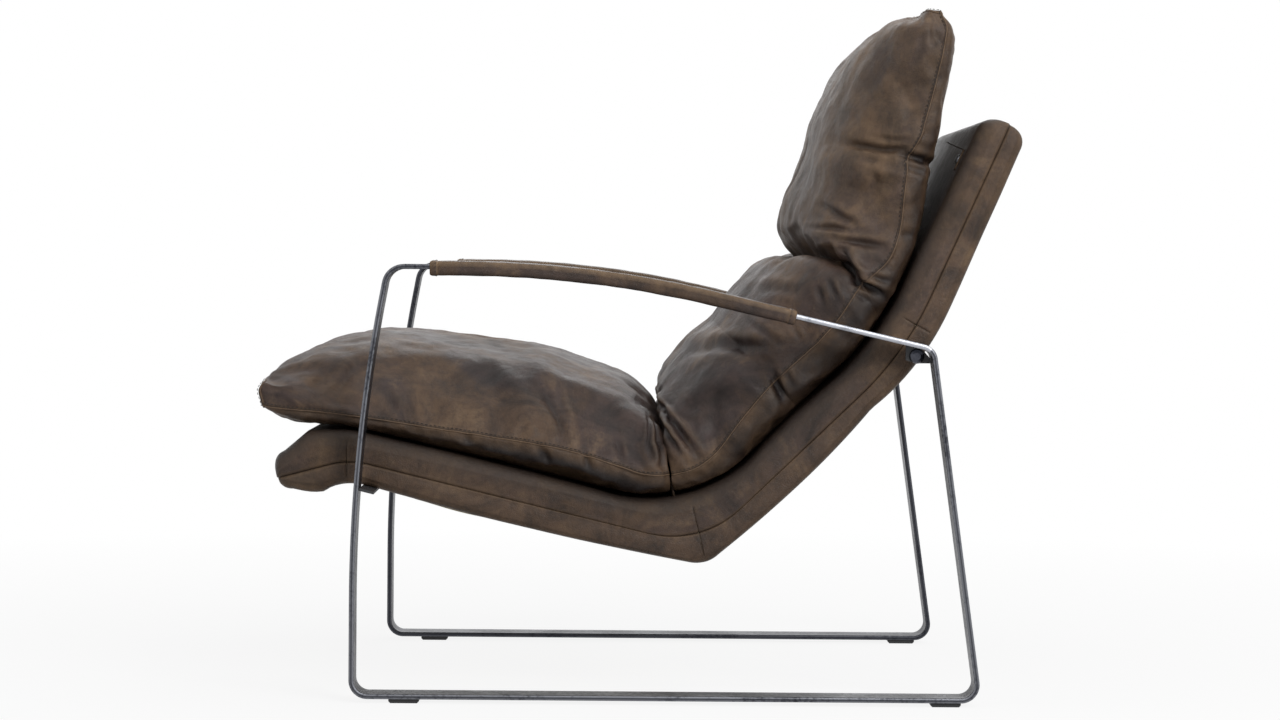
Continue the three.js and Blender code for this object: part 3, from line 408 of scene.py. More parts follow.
def rounded_path(corners, closed=False):
    """Points along a line whose corners are rounded, as far as their neighbours leave room."""
    turns = [corner_turn(corners, i, closed) for i in range(len(corners))]
    wanted = [at.radius * math.tan(abs(turn) / 2) for at, (_, _, turn) in zip(corners, turns)]
    points = []
    for i, (at, (arriving, leaving, turn)) in enumerate(zip(corners, turns)):
        reach = wanted[i]
        if reach == 0:
            points.append((at.y, at.z))
            continue
        reach *= min(arriving[2] / (reach + wanted[i - 1]),
                     leaving[2] / (reach + wanted[(i + 1) % len(corners)]), 1)
        radius = reach / math.tan(turn / 2)
        arm_y = arriving[1] * radius
        arm_z = -arriving[0] * radius
        centre_y = at.y - arriving[0] * reach - arm_y
        centre_z = at.z - arriving[1] * reach - arm_z
        for k in range(at.steps + 1):
            angle = turn * k / at.steps
            points.append((centre_y + arm_y * math.cos(angle) - arm_z * math.sin(angle),
                           centre_z + arm_y * math.sin(angle) + arm_z * math.cos(angle)))
    return points


def first_point(corners, at):
    return sum(before.steps + 1 if before.radius > 0 else 1 for before in corners[:corners.index(at)])


def unit(vectors):
    return vectors / np.linalg.norm(vectors, axis=-1, keepdims=True)


def lengths_along(line):
    """Distance along a line from its first point to each point."""
    steps = np.linalg.norm(np.diff(line, axis=0), axis=1)
    return np.concatenate(([0.0], np.cumsum(steps)))


def at_places(table, along, places):
    """A table's rows, blended at given places along it."""
    return np.column_stack([np.interp(places, along, column) for column in table.T])


# Stations are rows: along, y, z, length below and above, then the two directions
ALONG, Y, Z, BELOW_LENGTH, ABOVE_LENGTH, BELOW_Y, BELOW_Z, ABOVE_Y, ABOVE_Z = range(9)


def stations_of(middle, under, over):
    middle = np.array(middle)
    down = np.array(under) - middle
    up = np.array(over) - middle
    return np.column_stack((lengths_along(middle), middle, np.hypot(*down.T), np.hypot(*up.T),
                            unit(down), unit(up)))


def station_at(stations, along):
    """Stations blended at given places, and carried on past the two ends."""
    place = np.atleast_1d(np.asarray(along, dtype=float))
    after = np.clip(np.searchsorted(stations[:, ALONG], place), 1, len(stations) - 1)
    a = stations[after - 1]
    b = stations[after]
    share = (place - a[:, ALONG]) / (b[:, ALONG] - a[:, ALONG])
    return a + (b - a) * share[:, None]


def placed(station, x, height):
    """Points of a section: x across, height above the station or below it where negative."""
    x, height = np.broadcast_arrays(x, height)
    above = height >= 0
    reach = np.abs(height)
    direction_y = np.where(above, station[ABOVE_Y], station[BELOW_Y])
    direction_z = np.where(above, station[ABOVE_Z], station[BELOW_Z])
    return np.column_stack((x, station[Y] + direction_y * reach, station[Z] + direction_z * reach))


def curve_at(shares, place):
    """Smooth curve through (place, value) shares."""
    last = len(shares) - 1
    i = next((k for k in range(1, len(shares)) if place <= shares[k][0]), last)
    start_place, start_value = shares[i - 1]
    end_place, end_value = shares[i]

    def slope(k):
        if k in (0, last):
            return 0.0
        return (shares[k + 1][1] - shares[k - 1][1]) / (shares[k + 1][0] - shares[k - 1][0])

    span = end_place - start_place
    t = min(max((place - start_place) / span, 0.0), 1.0)
    rest = 1 - t
    return (start_value * rest * rest * (1 + 2 * t) + end_value * t * t * (1 + 2 * rest)
            + span * t * rest * (slope(i - 1) * rest - slope(i) * t))


def bump(distance, width):
    return np.exp(-(np.asarray(distance, dtype=float) / width) ** 2)


def mark(distance, strength, place, half):
    """A soft mark or sag beside a line."""
    return strength * bump(distance - place, half)


def noises(x, y, z):
    """Smooth noise at many places."""
    return np.array([noise.noise(Vector(place)) for place in np.broadcast(x, y, z)])


def toward(a, b, share):
    return Corner(a.y + (b.y - a.y) * share, a.z + (b.z - a.z) * share)


SEAM_CORNERS = [LIP, toward(LIP, KNEE, LIP_FULL_SHARE), KNEE, CREASE,
                toward(CREASE, BEND, LOWER_BACK_SHARE), BEND, SHELL_TOP]


def beside_seam(distances, crease_radius):
    """The shell's lower or upper face: the seam's own corners, except at the crease."""
    return rounded_path([
        at._replace(radius=crease_radius if own is CREASE else own.radius)
        for at, own in zip(offset_corners(SEAM_CORNERS, distances), SEAM_CORNERS)])


SHELL = stations_of(rounded_path(SEAM_CORNERS), beside_seam(-BELOW, CREASE_UNDER_RADIUS),
                    beside_seam(ABOVE, CREASE_TOP_RADIUS))
SHELL_LENGTH = SHELL[-1, ALONG]
KNEE_ALONG, CREASE_ALONG, BEND_ALONG = (
    SHELL[first_point(SEAM_CORNERS, at) + at.steps // 2, ALONG] for at in (KNEE, CREASE, BEND))
SIDE_SEAMS = (KNEE_ALONG - 2, CREASE_ALONG + 2, BEND_ALONG + 36)  # across the shell's side panels


def cushion_line():
    """The line under both cushions: along the shell's seat and back, and more upright at the head."""
    on_shell = ABOVE_SEAT + CUSHION_GAP
    seat_y, seat_z, _ = heading(KNEE, CREASE)
    back_y, back_z, _ = heading(BEND, SHELL_TOP)
    neck = Corner(BEND.y + back_y * NECK_FROM_BEND, BEND.z + back_z * NECK_FROM_BEND,
                  NECK_RADIUS, BEND_STEPS)
    lean = math.atan2(back_z, back_y) + HEAD_LEAN
    base = offset_corners([
        Corner(KNEE.y - seat_y * SEAT_OVERHANG, KNEE.z - seat_z * SEAT_OVERHANG),
        CREASE._replace(radius=CREASE_TOP_RADIUS + on_shell),
        BEND,
        neck,
        Corner(neck.y + math.cos(lean) * BACK_TOP_FROM_NECK, neck.z + math.sin(lean) * BACK_TOP_FROM_NECK),
    ], on_shell)
    return stations_of(rounded_path(base), rounded_path(offset_corners(base, -JOIN_HEIGHT)),
                       rounded_path(offset_corners(base, JOIN_HEIGHT)))


LINE = cushion_line()
SPLIT = LINE[1, ALONG] + CUSHION_SPLIT
HALF_JOIN = JOIN_THICKNESS / 2 + JOIN_GAP
SEAT_END = SPLIT - HALF_JOIN
BACK_START = SPLIT + HALF_JOIN
BACK_LENGTH = LINE[-1, ALONG] - BACK_START


# Mesh helpers

def attribute(obj, name, values):
    layer = obj.data.attributes.new(name, "FLOAT", "POINT")
    layer.data.foreach_set("value", np.full(len(layer.data), np.ravel(values), dtype=np.float32))


def new_object(name, points, faces, material, slot, node=None, **attributes):
    """A piece from points in millimetres: its finish, the CAD node it stands for and its attributes."""
    mesh = bpy.data.meshes.new(name)
    mesh.from_pydata((np.asarray(points, dtype=float) * MM).tolist(), [], faces)
    mesh.validate()
    mesh.update()
    mesh.polygons.foreach_set("use_smooth", [True] * len(mesh.polygons))
    mesh.materials.append(material)
    obj = bpy.data.objects.new(name, mesh)
    bpy.context.scene.collection.objects.link(obj)
    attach(obj, "root")
    if node:
        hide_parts(node)
    for key, values in attributes.items():
        attribute(obj, key, values)
    return obj


def grid_faces(rows, columns, wrap_columns=False, wrap_rows=False, start=0):
    faces = []
    for i in range(rows if wrap_rows else rows - 1):
        after = (i + 1) % rows
        for j in range(columns if wrap_columns else columns - 1):
            beside = (j + 1) % columns
            faces.append((start + i * columns + j, start + i * columns + beside,
                          start + after * columns + beside, start + after * columns + j))
    return faces


def tube_faces(rows, around, start=0):
    """Faces round a row of closed sections, and one over each end."""
    first = tuple(range(start, start + around))
    last = tuple(index + (rows - 1) * around for index in first)
    return grid_faces(rows, around, wrap_columns=True, start=start) + [first[::-1], last]


def outward(obj):
    """Turns the faces of a closed mesh outwards."""
    mesh = obj.data
    volume = 0.0
    for face in mesh.polygons:
        a, *others = (mesh.vertices[index].co for index in face.vertices)
        volume += sum(a.dot(b.cross(c)) for b, c in zip(others, others[1:]))
    if volume < 0:
        mesh.flip_normals()


def turn_sheet(obj, way):
    """Turns an open mesh so that its widest face looks up where way is 1, and down where it is -1."""
    widest = max(obj.data.polygons, key=lambda face: face.area)
    if widest.normal.z * way < 0:
        obj.data.flip_normals()


def thicken(obj, thickness, offset):
    modifier = obj.modifiers.new("Thickness", "SOLIDIFY")
    modifier.thickness = thickness * MM
    modifier.offset = offset


def read(items, what, size, kind=float):
    values = np.empty(len(items) * size, dtype=kind)
    items.foreach_get(what, values)
    return values.reshape(-1, size)


def coordinates(mesh):
    return read(mesh.vertices, "co", 3)


def set_coordinates(mesh, points):
    mesh.vertices.foreach_set("co", points.ravel())
    mesh.update()


def stitch_object(name, runs, slot):
    """Thread showing along runs of (path, directions away from the leather)."""
    size = (STITCH_RADIUS * np.sqrt(np.maximum(1 - STITCH_SHARES ** 4, 0.06)))[:, None]
    lift = (STITCH_RADIUS / 2 - STITCH_DIP * STITCH_SHARES ** 2)[:, None]
    angle = 2 * math.pi * np.arange(STITCH_AROUND) / STITCH_AROUND
    sideways = (size * np.cos(angle))[..., None]
    upwards = (size * np.sin(angle) + lift)[..., None]
    points = []
    faces = []
    for path, out in runs:
        along = lengths_along(path)
        count = int(along[-1] // STITCH_PITCH)
        middles = (np.arange(count) + 0.5) * along[-1] / count
        places = middles[:, None] + STITCH_SHARES * STITCH_LENGTH / 2
        table = at_places(np.hstack((path, out)), along, places.ravel())
        table = table.reshape(count, len(STITCH_SHARES), 6)
        centre = table[..., :3]
        up = unit(table[..., 3:])
        side = unit(np.cross(unit(centre[:, -1:] - centre[:, :1]), up))
        rings = centre[:, :, None] + side[:, :, None] * sideways + up[:, :, None] * upwards
        for stitch in rings:
            faces += tube_faces(len(STITCH_SHARES), STITCH_AROUND, len(points))
            points += list(stitch.reshape(-1, 3))
    return new_object(name, points, faces, THREAD, slot)


# Materials

def srgb(red, green, blue):
    def channel(value):
        share = value / 255
        return share / 12.92 if share <= 0.04045 else ((share + 0.055) / 1.055) ** 2.4
    return (channel(red), channel(green), channel(blue), 1.0)


class Nodes:
    """A small builder for the nodes of a material or of the world."""

    def __init__(self, data):
        data.use_nodes = True
        self.data = data
        self.tree = data.node_tree

    @cached_property
    def place(self):
        return self.add("ShaderNodeTexCoord").outputs["Object"]

    def add(self, kind, inputs=None, **settings):
        node = self.tree.nodes.new(kind)
        for key, value in settings.items():
            setattr(node, key, value)
        for key, value in (inputs or {}).items():
            self.link(value, node.inputs[key])
        return node

    def link(self, value, socket):
        if isinstance(value, bpy.types.NodeSocket):
            self.tree.links.new(value, socket)
        else:
            socket.default_value = value

    def noise(self, scale, detail=4.0, roughness=0.55, distortion=0.0, place=None):
        return self.add("ShaderNodeTexNoise", {
            "Vector": place or self.place, "Scale": scale, "Detail": detail,
            "Roughness": roughness, "Distortion": distortion}).outputs["Fac"]

    def stretched(self, scale=(1.0, 1.0, 1.0), turn=(0, 0, 0)):
        return self.add("ShaderNodeMapping", {
            "Vector": self.place, "Scale": scale, "Rotation": turn}).outputs["Vector"]

    def ramp(self, value, *stops):
        node = self.add("ShaderNodeValToRGB", {"Fac": value})
        elements = node.color_ramp.elements
        while len(elements) < len(stops):
            elements.new(0.5)
        for element, (place, color) in zip(elements, stops):
            element.position = place
            element.color = color if isinstance(color, tuple) else (color, color, color, 1.0)
        return node.outputs["Color"]

    def mix(self, share, a, b):
        node = self.add("ShaderNodeMix", {"Factor": share}, data_type="RGBA")
        self.link(a, node.inputs["A"])
        self.link(b, node.inputs["B"])
        return next(output for output in node.outputs if output.type == "RGBA")

    def math(self, operation, a, b):
        return self.add("ShaderNodeMath", {0: a, 1: b}, operation=operation).outputs[0]

    def spread(self, value, low, high, to_low=0.0, to_high=1.0):
        return self.add("ShaderNodeMapRange", {
            "Value": value, "From Min": low, "From Max": high, "To Min": to_low,
            "To Max": to_high}).outputs["Result"]

    def attribute(self, name):
        return self.add("ShaderNodeAttribute", attribute_name=name).outputs["Fac"]

    def bump(self, height, distance, strength=1.0, **inputs):
        return self.add("ShaderNodeBump", {
            "Height": height, "Distance": distance, "Strength": strength, **inputs}).outputs["Normal"]

    def seen(self):
        """1 for rays that see the background directly, in gloss or through glass."""
        path = self.add("ShaderNodeLightPath").outputs
        direct_or_gloss = self.math("MAXIMUM", path["Is Camera Ray"], path["Is Glossy Ray"])
        return self.math("MAXIMUM", direct_or_gloss, path["Is Transmission Ray"])

    def blend(self, share, a, b, output):
        """Ends the tree in a mix of two shaders."""
        mixed = self.add("ShaderNodeMixShader", {0: share, 1: a.outputs[0], 2: b.outputs[0]})
        self.link(mixed.outputs[0], output.inputs["Surface"])

    def finish(self, **inputs):
        for key, value in inputs.items():
            self.link(value, self.tree.nodes["Principled BSDF"].inputs[key.replace("_", " ")])
        return self.data


def new_material(name):
    return Nodes(bpy.data.materials.new(name))


def leather_material(name, *colors):
    """Waxed leather: cool brown with warm olive-brown patches, dark smudges and rubbed edges."""
    dark, cool, middle, warm, worn = (srgb(*color) for color in colors)
    n = new_material(name)
    broad = n.noise(3.6, 3.0, 0.5, 0.4)
    patches = n.noise(6.4, 6.0, 0.6, 1.1, n.stretched((1.0, 0.9, 0.9), (0.3, 0.5, 0.2)))
    smudges = n.noise(15.0, 8.0, 0.64, 1.0, n.stretched((1.0, 0.85, 0.85), (0.1, 0.8, 0.4)))
    fine = n.noise(75.0, 8.0, 0.7)
    base = n.ramp(broad, (0.42, cool), (0.62, middle))
    warmth = n.math("MAXIMUM", n.ramp(patches, (0.48, 0.0), (0.6, 0.6), (0.72, 1.0)),
                    n.math("MULTIPLY", n.attribute("warm"), n.ramp(patches, (0.28, 0.35), (0.5, 0.9))))
    base = n.mix(warmth, base, warm)
    base = n.mix(n.ramp(smudges, (0.34, 0.8), (0.52, 0.0)), base, dark)
    base = n.mix(n.ramp(fine, (0.34, 0.4), (0.55, 0.0)), base, dark)
    light = n.math("MULTIPLY", n.ramp(smudges, (0.54, 0.0), (0.7, 0.6)),
                   n.ramp(fine, (0.42, 0.3), (0.62, 1.0)))
    base = n.mix(light, base, worn)
    scratch_noise = n.noise(9.0, 3.0, 0.5, 0.4, n.stretched((3.5, 26.0, 7.0), (0.5, 0.2, 0.9)))
    scratches = n.math("MULTIPLY", n.ramp(scratch_noise, (0.63, 0.0), (0.655, 0.3), (0.68, 0.0)),
                       n.ramp(broad, (0.45, 0.0), (0.6, 0.8)))
    base = n.mix(scratches, base, worn)
    # paler towards the worn colour where the wear attribute says: real wear, painted bounce light at the
    # shell's lip, and a paler upper back cushion
    wear = n.attribute("wear")
    wear_and_light_share = n.math("MULTIPLY", wear, n.ramp(n.noise(110.0, 5.0, 0.7), (0.3, 0.35), (0.62, 1.0)))
    base = n.mix(wear_and_light_share, base, worn)
    # darker where the shade attribute says: dark seam joints and painted shade
    base = n.mix(n.attribute("shade"), base, dark)
    cells = n.add("ShaderNodeTexVoronoi", {"Vector": n.place, "Scale": 480.0},
                  feature="DISTANCE_TO_EDGE").outputs["Distance"]
    pores = n.math("ADD", n.ramp(cells, (0.0, 0.0), (0.16, 1.0)), n.math("MULTIPLY", fine, 0.8))
    creases = n.noise(42.0, 6.0, 0.62, 0.6)
    normal = n.bump(creases, 0.0026, 0.6, Normal=n.bump(pores, 0.00018, 0.75))
    rough = n.math("ADD", n.spread(n.math("ADD", fine, patches), 0.75, 1.25, 0.36, 0.54),
                   n.math("MULTIPLY", wear, 0.08))
    return n.finish(Base_Color=base, Roughness=rough, Normal=normal, Specular_IOR_Level=0.26)


def steel_material(name, dark, light, bright, roughness=0.34):
    """Waxed raw steel: dark with drawn-out lighter scuffs, bright where "wear" and "polish" say."""
    dark, light, bright = (srgb(*color) for color in (dark, light, bright))
    n = new_material(name)
    patches = n.noise(9.0, 6.0, 0.65, 0.6)
    streaks = n.noise(26.0, 5.0, 0.6, 0.2, n.stretched((7.0, 1.0, 1.0)))
    fine = n.noise(190.0, 4.0, 0.65)
    base = n.mix(n.ramp(patches, (0.38, 0.0), (0.68, 1.0)), dark, light)
    base = n.mix(n.ramp(streaks, (0.44, 0.6), (0.58, 0.0)), base, dark)
    scuffs = n.ramp(n.math("ADD", n.math("MULTIPLY", streaks, 0.7), n.math("MULTIPLY", fine, 0.35)),
                    (0.58, 0.0), (0.72, 0.5))
    base = n.mix(scuffs, base, light)
    polish = n.math("MULTIPLY", n.attribute("polish"), n.ramp(streaks, (0.34, 0.25), (0.46, 1.0)))
    edge = n.math("MULTIPLY", n.attribute("wear"),
                  n.ramp(n.math("ADD", patches, fine), (0.75, 0.15), (1.1, 0.8)))
    base = n.mix(n.math("MAXIMUM", edge, polish), base, bright)
    # painted shade on the bars' narrow edge faces
    base = n.mix(n.math("MULTIPLY", n.attribute("dull"), 0.8), base, dark)
    rough = n.math("ADD", n.spread(fine, 0.3, 0.7, roughness - 0.06, roughness + 0.08),
                   n.ramp(patches, (0.4, 0.12), (0.7, 0.0)))
    normal = n.bump(n.math("ADD", fine, streaks), 0.00015, 0.3)
    return n.finish(Base_Color=base, Metallic=1.0, Roughness=rough, Normal=normal)


def speckled_material(name, color, other, scale, roughness, bump_size=0.0002):
    n = new_material(name)
    grainy = n.noise(scale, 5.0, 0.65)
    wide = n.noise(scale / 12, 3.0)
    base = n.mix(n.math("MULTIPLY", n.math("ADD", grainy, wide), 0.5), srgb(*color), srgb(*other))
    rough = n.spread(grainy, 0.3, 0.7, roughness - 0.06, roughness + 0.06)
    return n.finish(Base_Color=base, Roughness=rough, Normal=n.bump(grainy, bump_size, 0.6))


def woven_material(name, color, other, pitch):
    n = new_material(name)
    warp, weft = (n.add("ShaderNodeTexWave", {
        "Vector": n.stretched(turn=(0, 0, turn)), "Scale": 1 / pitch / math.pi, "Distortion": 0.6,
        "Detail": 2.0}).outputs["Fac"] for turn in (0.0, math.pi / 2))
    weave = n.math("MULTIPLY", warp, weft)
    share = n.math("ADD", n.math("MULTIPLY", weave, 0.6), n.math("MULTIPLY", n.noise(20.0, 4.0), 0.4))
    base = n.mix(share, srgb(*color), srgb(*other))
    return n.finish(Base_Color=base, Roughness=0.85, Normal=n.bump(weave, 0.0003, 0.5))


LEATHER_SHELL = leather_material(
    "leather_shell", (30, 23, 20), (71, 57, 50), (83, 66, 56), (95, 75, 57), (131, 108, 83))
LEATHER_CUSHION = leather_material(
    "leather_cushion", (30, 23, 21), (64, 52, 49), (77, 61, 54), (100, 79, 60), (135, 111, 86))
THREAD = speckled_material("thread", (30, 25, 22), (46, 38, 32), 900.0, 0.7)
STEEL = steel_material("steel", (34, 35, 41), (66, 68, 75), (172, 174, 181))
BOLT_STEEL = steel_material("bolt_steel", (60, 61, 68), (96, 98, 106), (150, 152, 160), 0.3)
INNER_STEEL = speckled_material("inner_steel", (34, 34, 36), (50, 50, 52), 300.0, 0.5)
ZINC = steel_material("zinc", (130, 132, 136), (160, 162, 166), (190, 192, 195), 0.3)
GLIDE = speckled_material("glide", (22, 22, 24), (36, 36, 38), 500.0, 0.55)
FOAM = speckled_material("foam", (206, 190, 140), (226, 212, 168), 420.0, 0.95, 0.0008)
WEBBING = woven_material("webbing", (34, 34, 35), (64, 64, 64), 0.0016)
DUST_CLOTH = woven_material("dust_cloth", (196, 176, 136), (226, 210, 174), 0.0014)

CAD_MATERIALS = (
    # how the nodes' names start, and their material
    (("rear_bolt_",), BOLT_STEEL),
    (("rear_gusset_", "front_bracket_", "shell_rail_", "shell_cross_", "shell_lug_"), INNER_STEEL),
    (("glide_screw_", "rear_collar_", "front_bolt_", "strap_snap_"), ZINC),
    (("glide_front_", "glide_rear_"), GLIDE),
    (("seat_foam", "back_foam", "arm_foam_"), FOAM),
    (("seat_webbing_", "lumbar_webbing_", "back_webbing_"), WEBBING),
)


def dress_cad_nodes():
    for name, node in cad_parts.items():
        for starts, material in CAD_MATERIALS:
            if name.startswith(starts):
                node.data.materials.clear()
                node.data.materials.append(material)


# Side frames

def bar_section():
    """(across the bar, inwards from the outer face, wear) round the chamfered bar."""
    half = BAR_WIDTH / 2
    rows = [(-half, BAR_CHAMFER, 1.0), (BAR_CHAMFER - half, 0, 1.0), (BAR_WORN_BAND - half, 0, 0.15),
            (0, BAR_SINK, 0.0), (half - BAR_WORN_BAND, 0, 0.15), (half - BAR_CHAMFER, 0, 1.0),
            (half, BAR_CHAMFER, 1.0), (half, HALF_BAR, 0.1)]
    return np.array(rows + [(-x, BAR_THICKNESS - inwards, worn) for x, inwards, worn in rows])


def make_side_frames():
    outer = rounded_path(FRAME_CORNERS, True)
    inner = rounded_path(offset_corners(FRAME_CORNERS, -BAR_THICKNESS, True), True)
    corners = np.hstack((outer, inner))
    lines = []
    for at, after in zip(corners, np.roll(corners, -1, axis=0)):
        count = max(int(math.hypot(*(after - at)[:2]) // BAR_STEP), 1)
        lines += [at + (after - at) * (k / count) for k in range(count)]
    outer_y, outer_z, inner_y, inner_z = np.array(lines).T[:, :, None]
    across, inwards, worn = bar_section().T
    share = inwards / BAR_THICKNESS
    y = outer_y + (inner_y - outer_y) * share
    z = outer_z + (inner_z - outer_z) * share
    wear = np.broadcast_to(worn, y.shape)
    polish = ((outer_y > POLISH_START) & (outer_y < REAR_CORNER.y - POLISH_BEFORE_CORNER)
              & (outer_z > REAR_CORNER.z - POLISH_BELOW_CORNER)) * np.ones_like(y)
    faces = grid_faces(len(lines), len(across), wrap_columns=True, wrap_rows=True)
    for side, sign in SIDES:
        x = np.broadcast_to(sign * FRAME_MIDDLE + across, y.shape)
        inner_face = across * sign < SHADED_EDGE - BAR_WIDTH / 2
        outer_face = across * sign > BAR_WIDTH / 2 - SHADED_EDGE
        # painted shade: full on the inner edge face, less on the outer one and none where polished
        dull = np.where(inner_face, 1.0, OUTER_SHADE * outer_face * (1 - polish))
        loop = new_object(f"steel_loop_{side}", np.dstack((x, y, z)).reshape(-1, 3), faces, STEEL,
                          "steel", f"frame_loop_{side}", wear=wear, polish=polish, dull=dull)
        outward(loop)


# Arm sleeves

def sleeve_section(inset, hem):
    """x, height and wear round the sleeve, from the middle of its underside."""
    half = BAR_WIDTH / 2 + SLEEVE_SIDE - inset + hem
    low = inset - HALF_BAR - SLEEVE_BELOW - hem
    high = HALF_BAR + SLEEVE_ABOVE - inset + hem
    radius = max(SLEEVE_RADIUS - inset, 0.5)
    line = []
    right = half - radius
    for centre_x, centre_z, start in ((right, low + radius, -90), (right, high - radius, 0),
                                      (-right, high - radius, 90), (-right, low + radius, 180)):
        for angle in np.radians(start + np.linspace(0, 90, SLEEVE_CORNER_STEPS + 1)):
            line.append((centre_x + radius * math.cos(angle), centre_z + radius * math.sin(angle)))
    line = np.array(line + line[:1])
    along = lengths_along(line)
    x, z = at_places(line, along, np.linspace(0, along[-1], SLEEVE_AROUND))[:-1].T
    edge_wear = mark(np.abs(x) - half, *SLEEVE_EDGE_WEAR) * (z > 0)
    puff = SLEEVE_PUFF * np.sin(np.pi * np.clip((x + half) / (2 * half), 0, 1))
    return x, z + puff * np.where(z > 0, 1, -UNDER_PUFF_SHARE), edge_wear


def make_sleeves():
    def arm_line(distance):
        path = rounded_path(offset_corners(FRAME_CORNERS, distance, True), True)
        return path[first_point(FRAME_CORNERS, ARM_BOW) - 1:first_point(FRAME_CORNERS, REAR_CORNER) + 1]

    stations = stations_of(arm_line(-HALF_BAR), arm_line(-BAR_THICKNESS), arm_line(0.0))
    start = SLEEVE_START
    end = SLEEVE_START + SLEEVE_LENGTH
    sections = [(start + a, inset, hem) for a, inset, hem in HEM_PROFILE]
    sections += [(a, 0, 0) for a in np.arange(start + SLEEVE_HEM + 3, end - SLEEVE_HEM - 2, SLEEVE_STEP)]
    sections += [(end - a, inset, hem) for a, inset, hem in reversed(HEM_PROFILE)]
    for side, sign in SIDES:
        def ring(along, x, height):
            return placed(station_at(stations, along)[0], x, height) + (sign * FRAME_MIDDLE, 0, 0)

        rings = []
        wear = []
        for along, inset, hem in sections:
            x, height, edge_wear = sleeve_section(inset, hem)
            soft = SLEEVE_SOFT * (hem == 0) * noises(
                x / SLEEVE_SOFT_ACROSS + sign * 3, along / SLEEVE_SOFT_ALONG, height / SLEEVE_SOFT_ACROSS)
            rings.append(ring(along, x + np.sign(x) * soft, height + soft))
            from_end = min(along - start, end - along)
            end_wear = max(mark(from_end, *SLEEVE_END_WEAR), mark(from_end, *SLEEVE_HEM_WEAR))
            wear.append(np.clip(edge_wear + end_wear, 0, 1))
        # each end closes over the foam onto the bar
        x, height, _ = sleeve_section(END_INSET, 0)
        x = np.clip(x, -BAR_WIDTH / 2 - END_GAP, BAR_WIDTH / 2 + END_GAP)
        height = np.clip(height, -HALF_BAR - END_GAP, HALF_BAR + END_GAP)
        rings = [ring(start + END_INSET, x, height), *rings, ring(end - END_INSET, x, height)]
        wear = np.pad(np.concatenate(wear), len(x), constant_values=END_WEAR)
        sleeve = new_object(f"arm_sleeve_{side}", np.vstack(rings), tube_faces(len(rings), len(x)),
                            LEATHER_SHELL, "leather_shell", f"arm_cover_{side}", wear=wear)
        outward(sleeve)

        # stitches round the two hems
        x, height, _ = sleeve_section(-HEM_STITCH_RAISE, 0)
        lines = [ring(along, np.append(x, x[0]), np.append(height, height[0]))
                 for along in (start + HEM_STITCHES, end - HEM_STITCHES)]
        stitch_object(f"sleeve_stitches_{side}", [(line, line - line.mean(axis=0)) for line in lines],
                      "leather_shell")


# Shell leather

def shell_rows():
    """Stations along the shell and round its two ends, each with how much it is narrowed."""
    near_seams = [seam + offset for seam in SIDE_SEAMS for offset in BESIDE_CROSS_SEAM]
    body = np.arange(SHELL[1, ALONG] * SHELL_START_SHARE, SHELL_LENGTH - 1, SHELL_STEP)
    places = np.unique(np.round(np.concatenate((body, near_seams)), 3))

    def rounded_end(at, before, way, rounds):
        length, low_round, high_round = rounds
        ahead = unit(at[Y:Z + 1] - before[Y:Z + 1])
        for angle in np.linspace(0, math.pi / 2, END_STEPS + 1):
            row = at.copy()
            shrink = 1 - math.cos(angle)
            row[Y:Z + 1] += ahead * length * math.sin(angle)
            row[BELOW_LENGTH] -= low_round * shrink
            row[ABOVE_LENGTH] -= high_round * shrink
            row[ALONG] += way * length * math.sin(angle)
            yield row, length / 2 * shrink

    return [*list(rounded_end(SHELL[0], SHELL[1], -1, LIP_ROUNDS))[::-1],
            *((row, 0.0) for row in station_at(SHELL, places)),
            *rounded_end(SHELL[-1], SHELL[-2], 1, TOP_ROUNDS)]


def shell_outline(half, depth, radius):
    """(x, height) from one side's seam over its rounded edge and across to the other side's seam."""
    near_seam = NEAR_SEAM * min(NEAR_SEAM_SHARE * (depth - radius) / NEAR_SEAM[-1], 1.0)
    wall = np.concatenate((near_seam, np.linspace(near_seam[-1], depth - radius, SIDE_COUNT + 1)[1:]))
    angle = np.linspace(0, math.pi / 2, CORNER_COUNT + 2)[1:-1]
    flat = np.linspace(half - radius, radius - half, FLAT_COUNT)
    side = np.vstack((
        np.column_stack((np.full(WALL_COUNT, half), wall)),
        np.column_stack((half - radius + radius * np.cos(angle), depth - radius + radius * np.sin(angle)))))
    return np.vstack((side, np.column_stack((flat, np.full(FLAT_COUNT, depth))), side[::-1] * (-1, 1))).T


def broad_noise(sign, along, height):
    """The slow unevenness of the shell's leather."""
    return noises(sign * 2.0, along / BROAD_ALONG, height / BROAD_UP)


def side_bulge(share, soft):
    """How far a side panel stands out at a share of its height."""
    rise = np.sin(np.pi * np.clip(share, 0, 1))
    return SIDE_SWELL * rise ** 0.8 + SIDE_SOFT * soft * rise


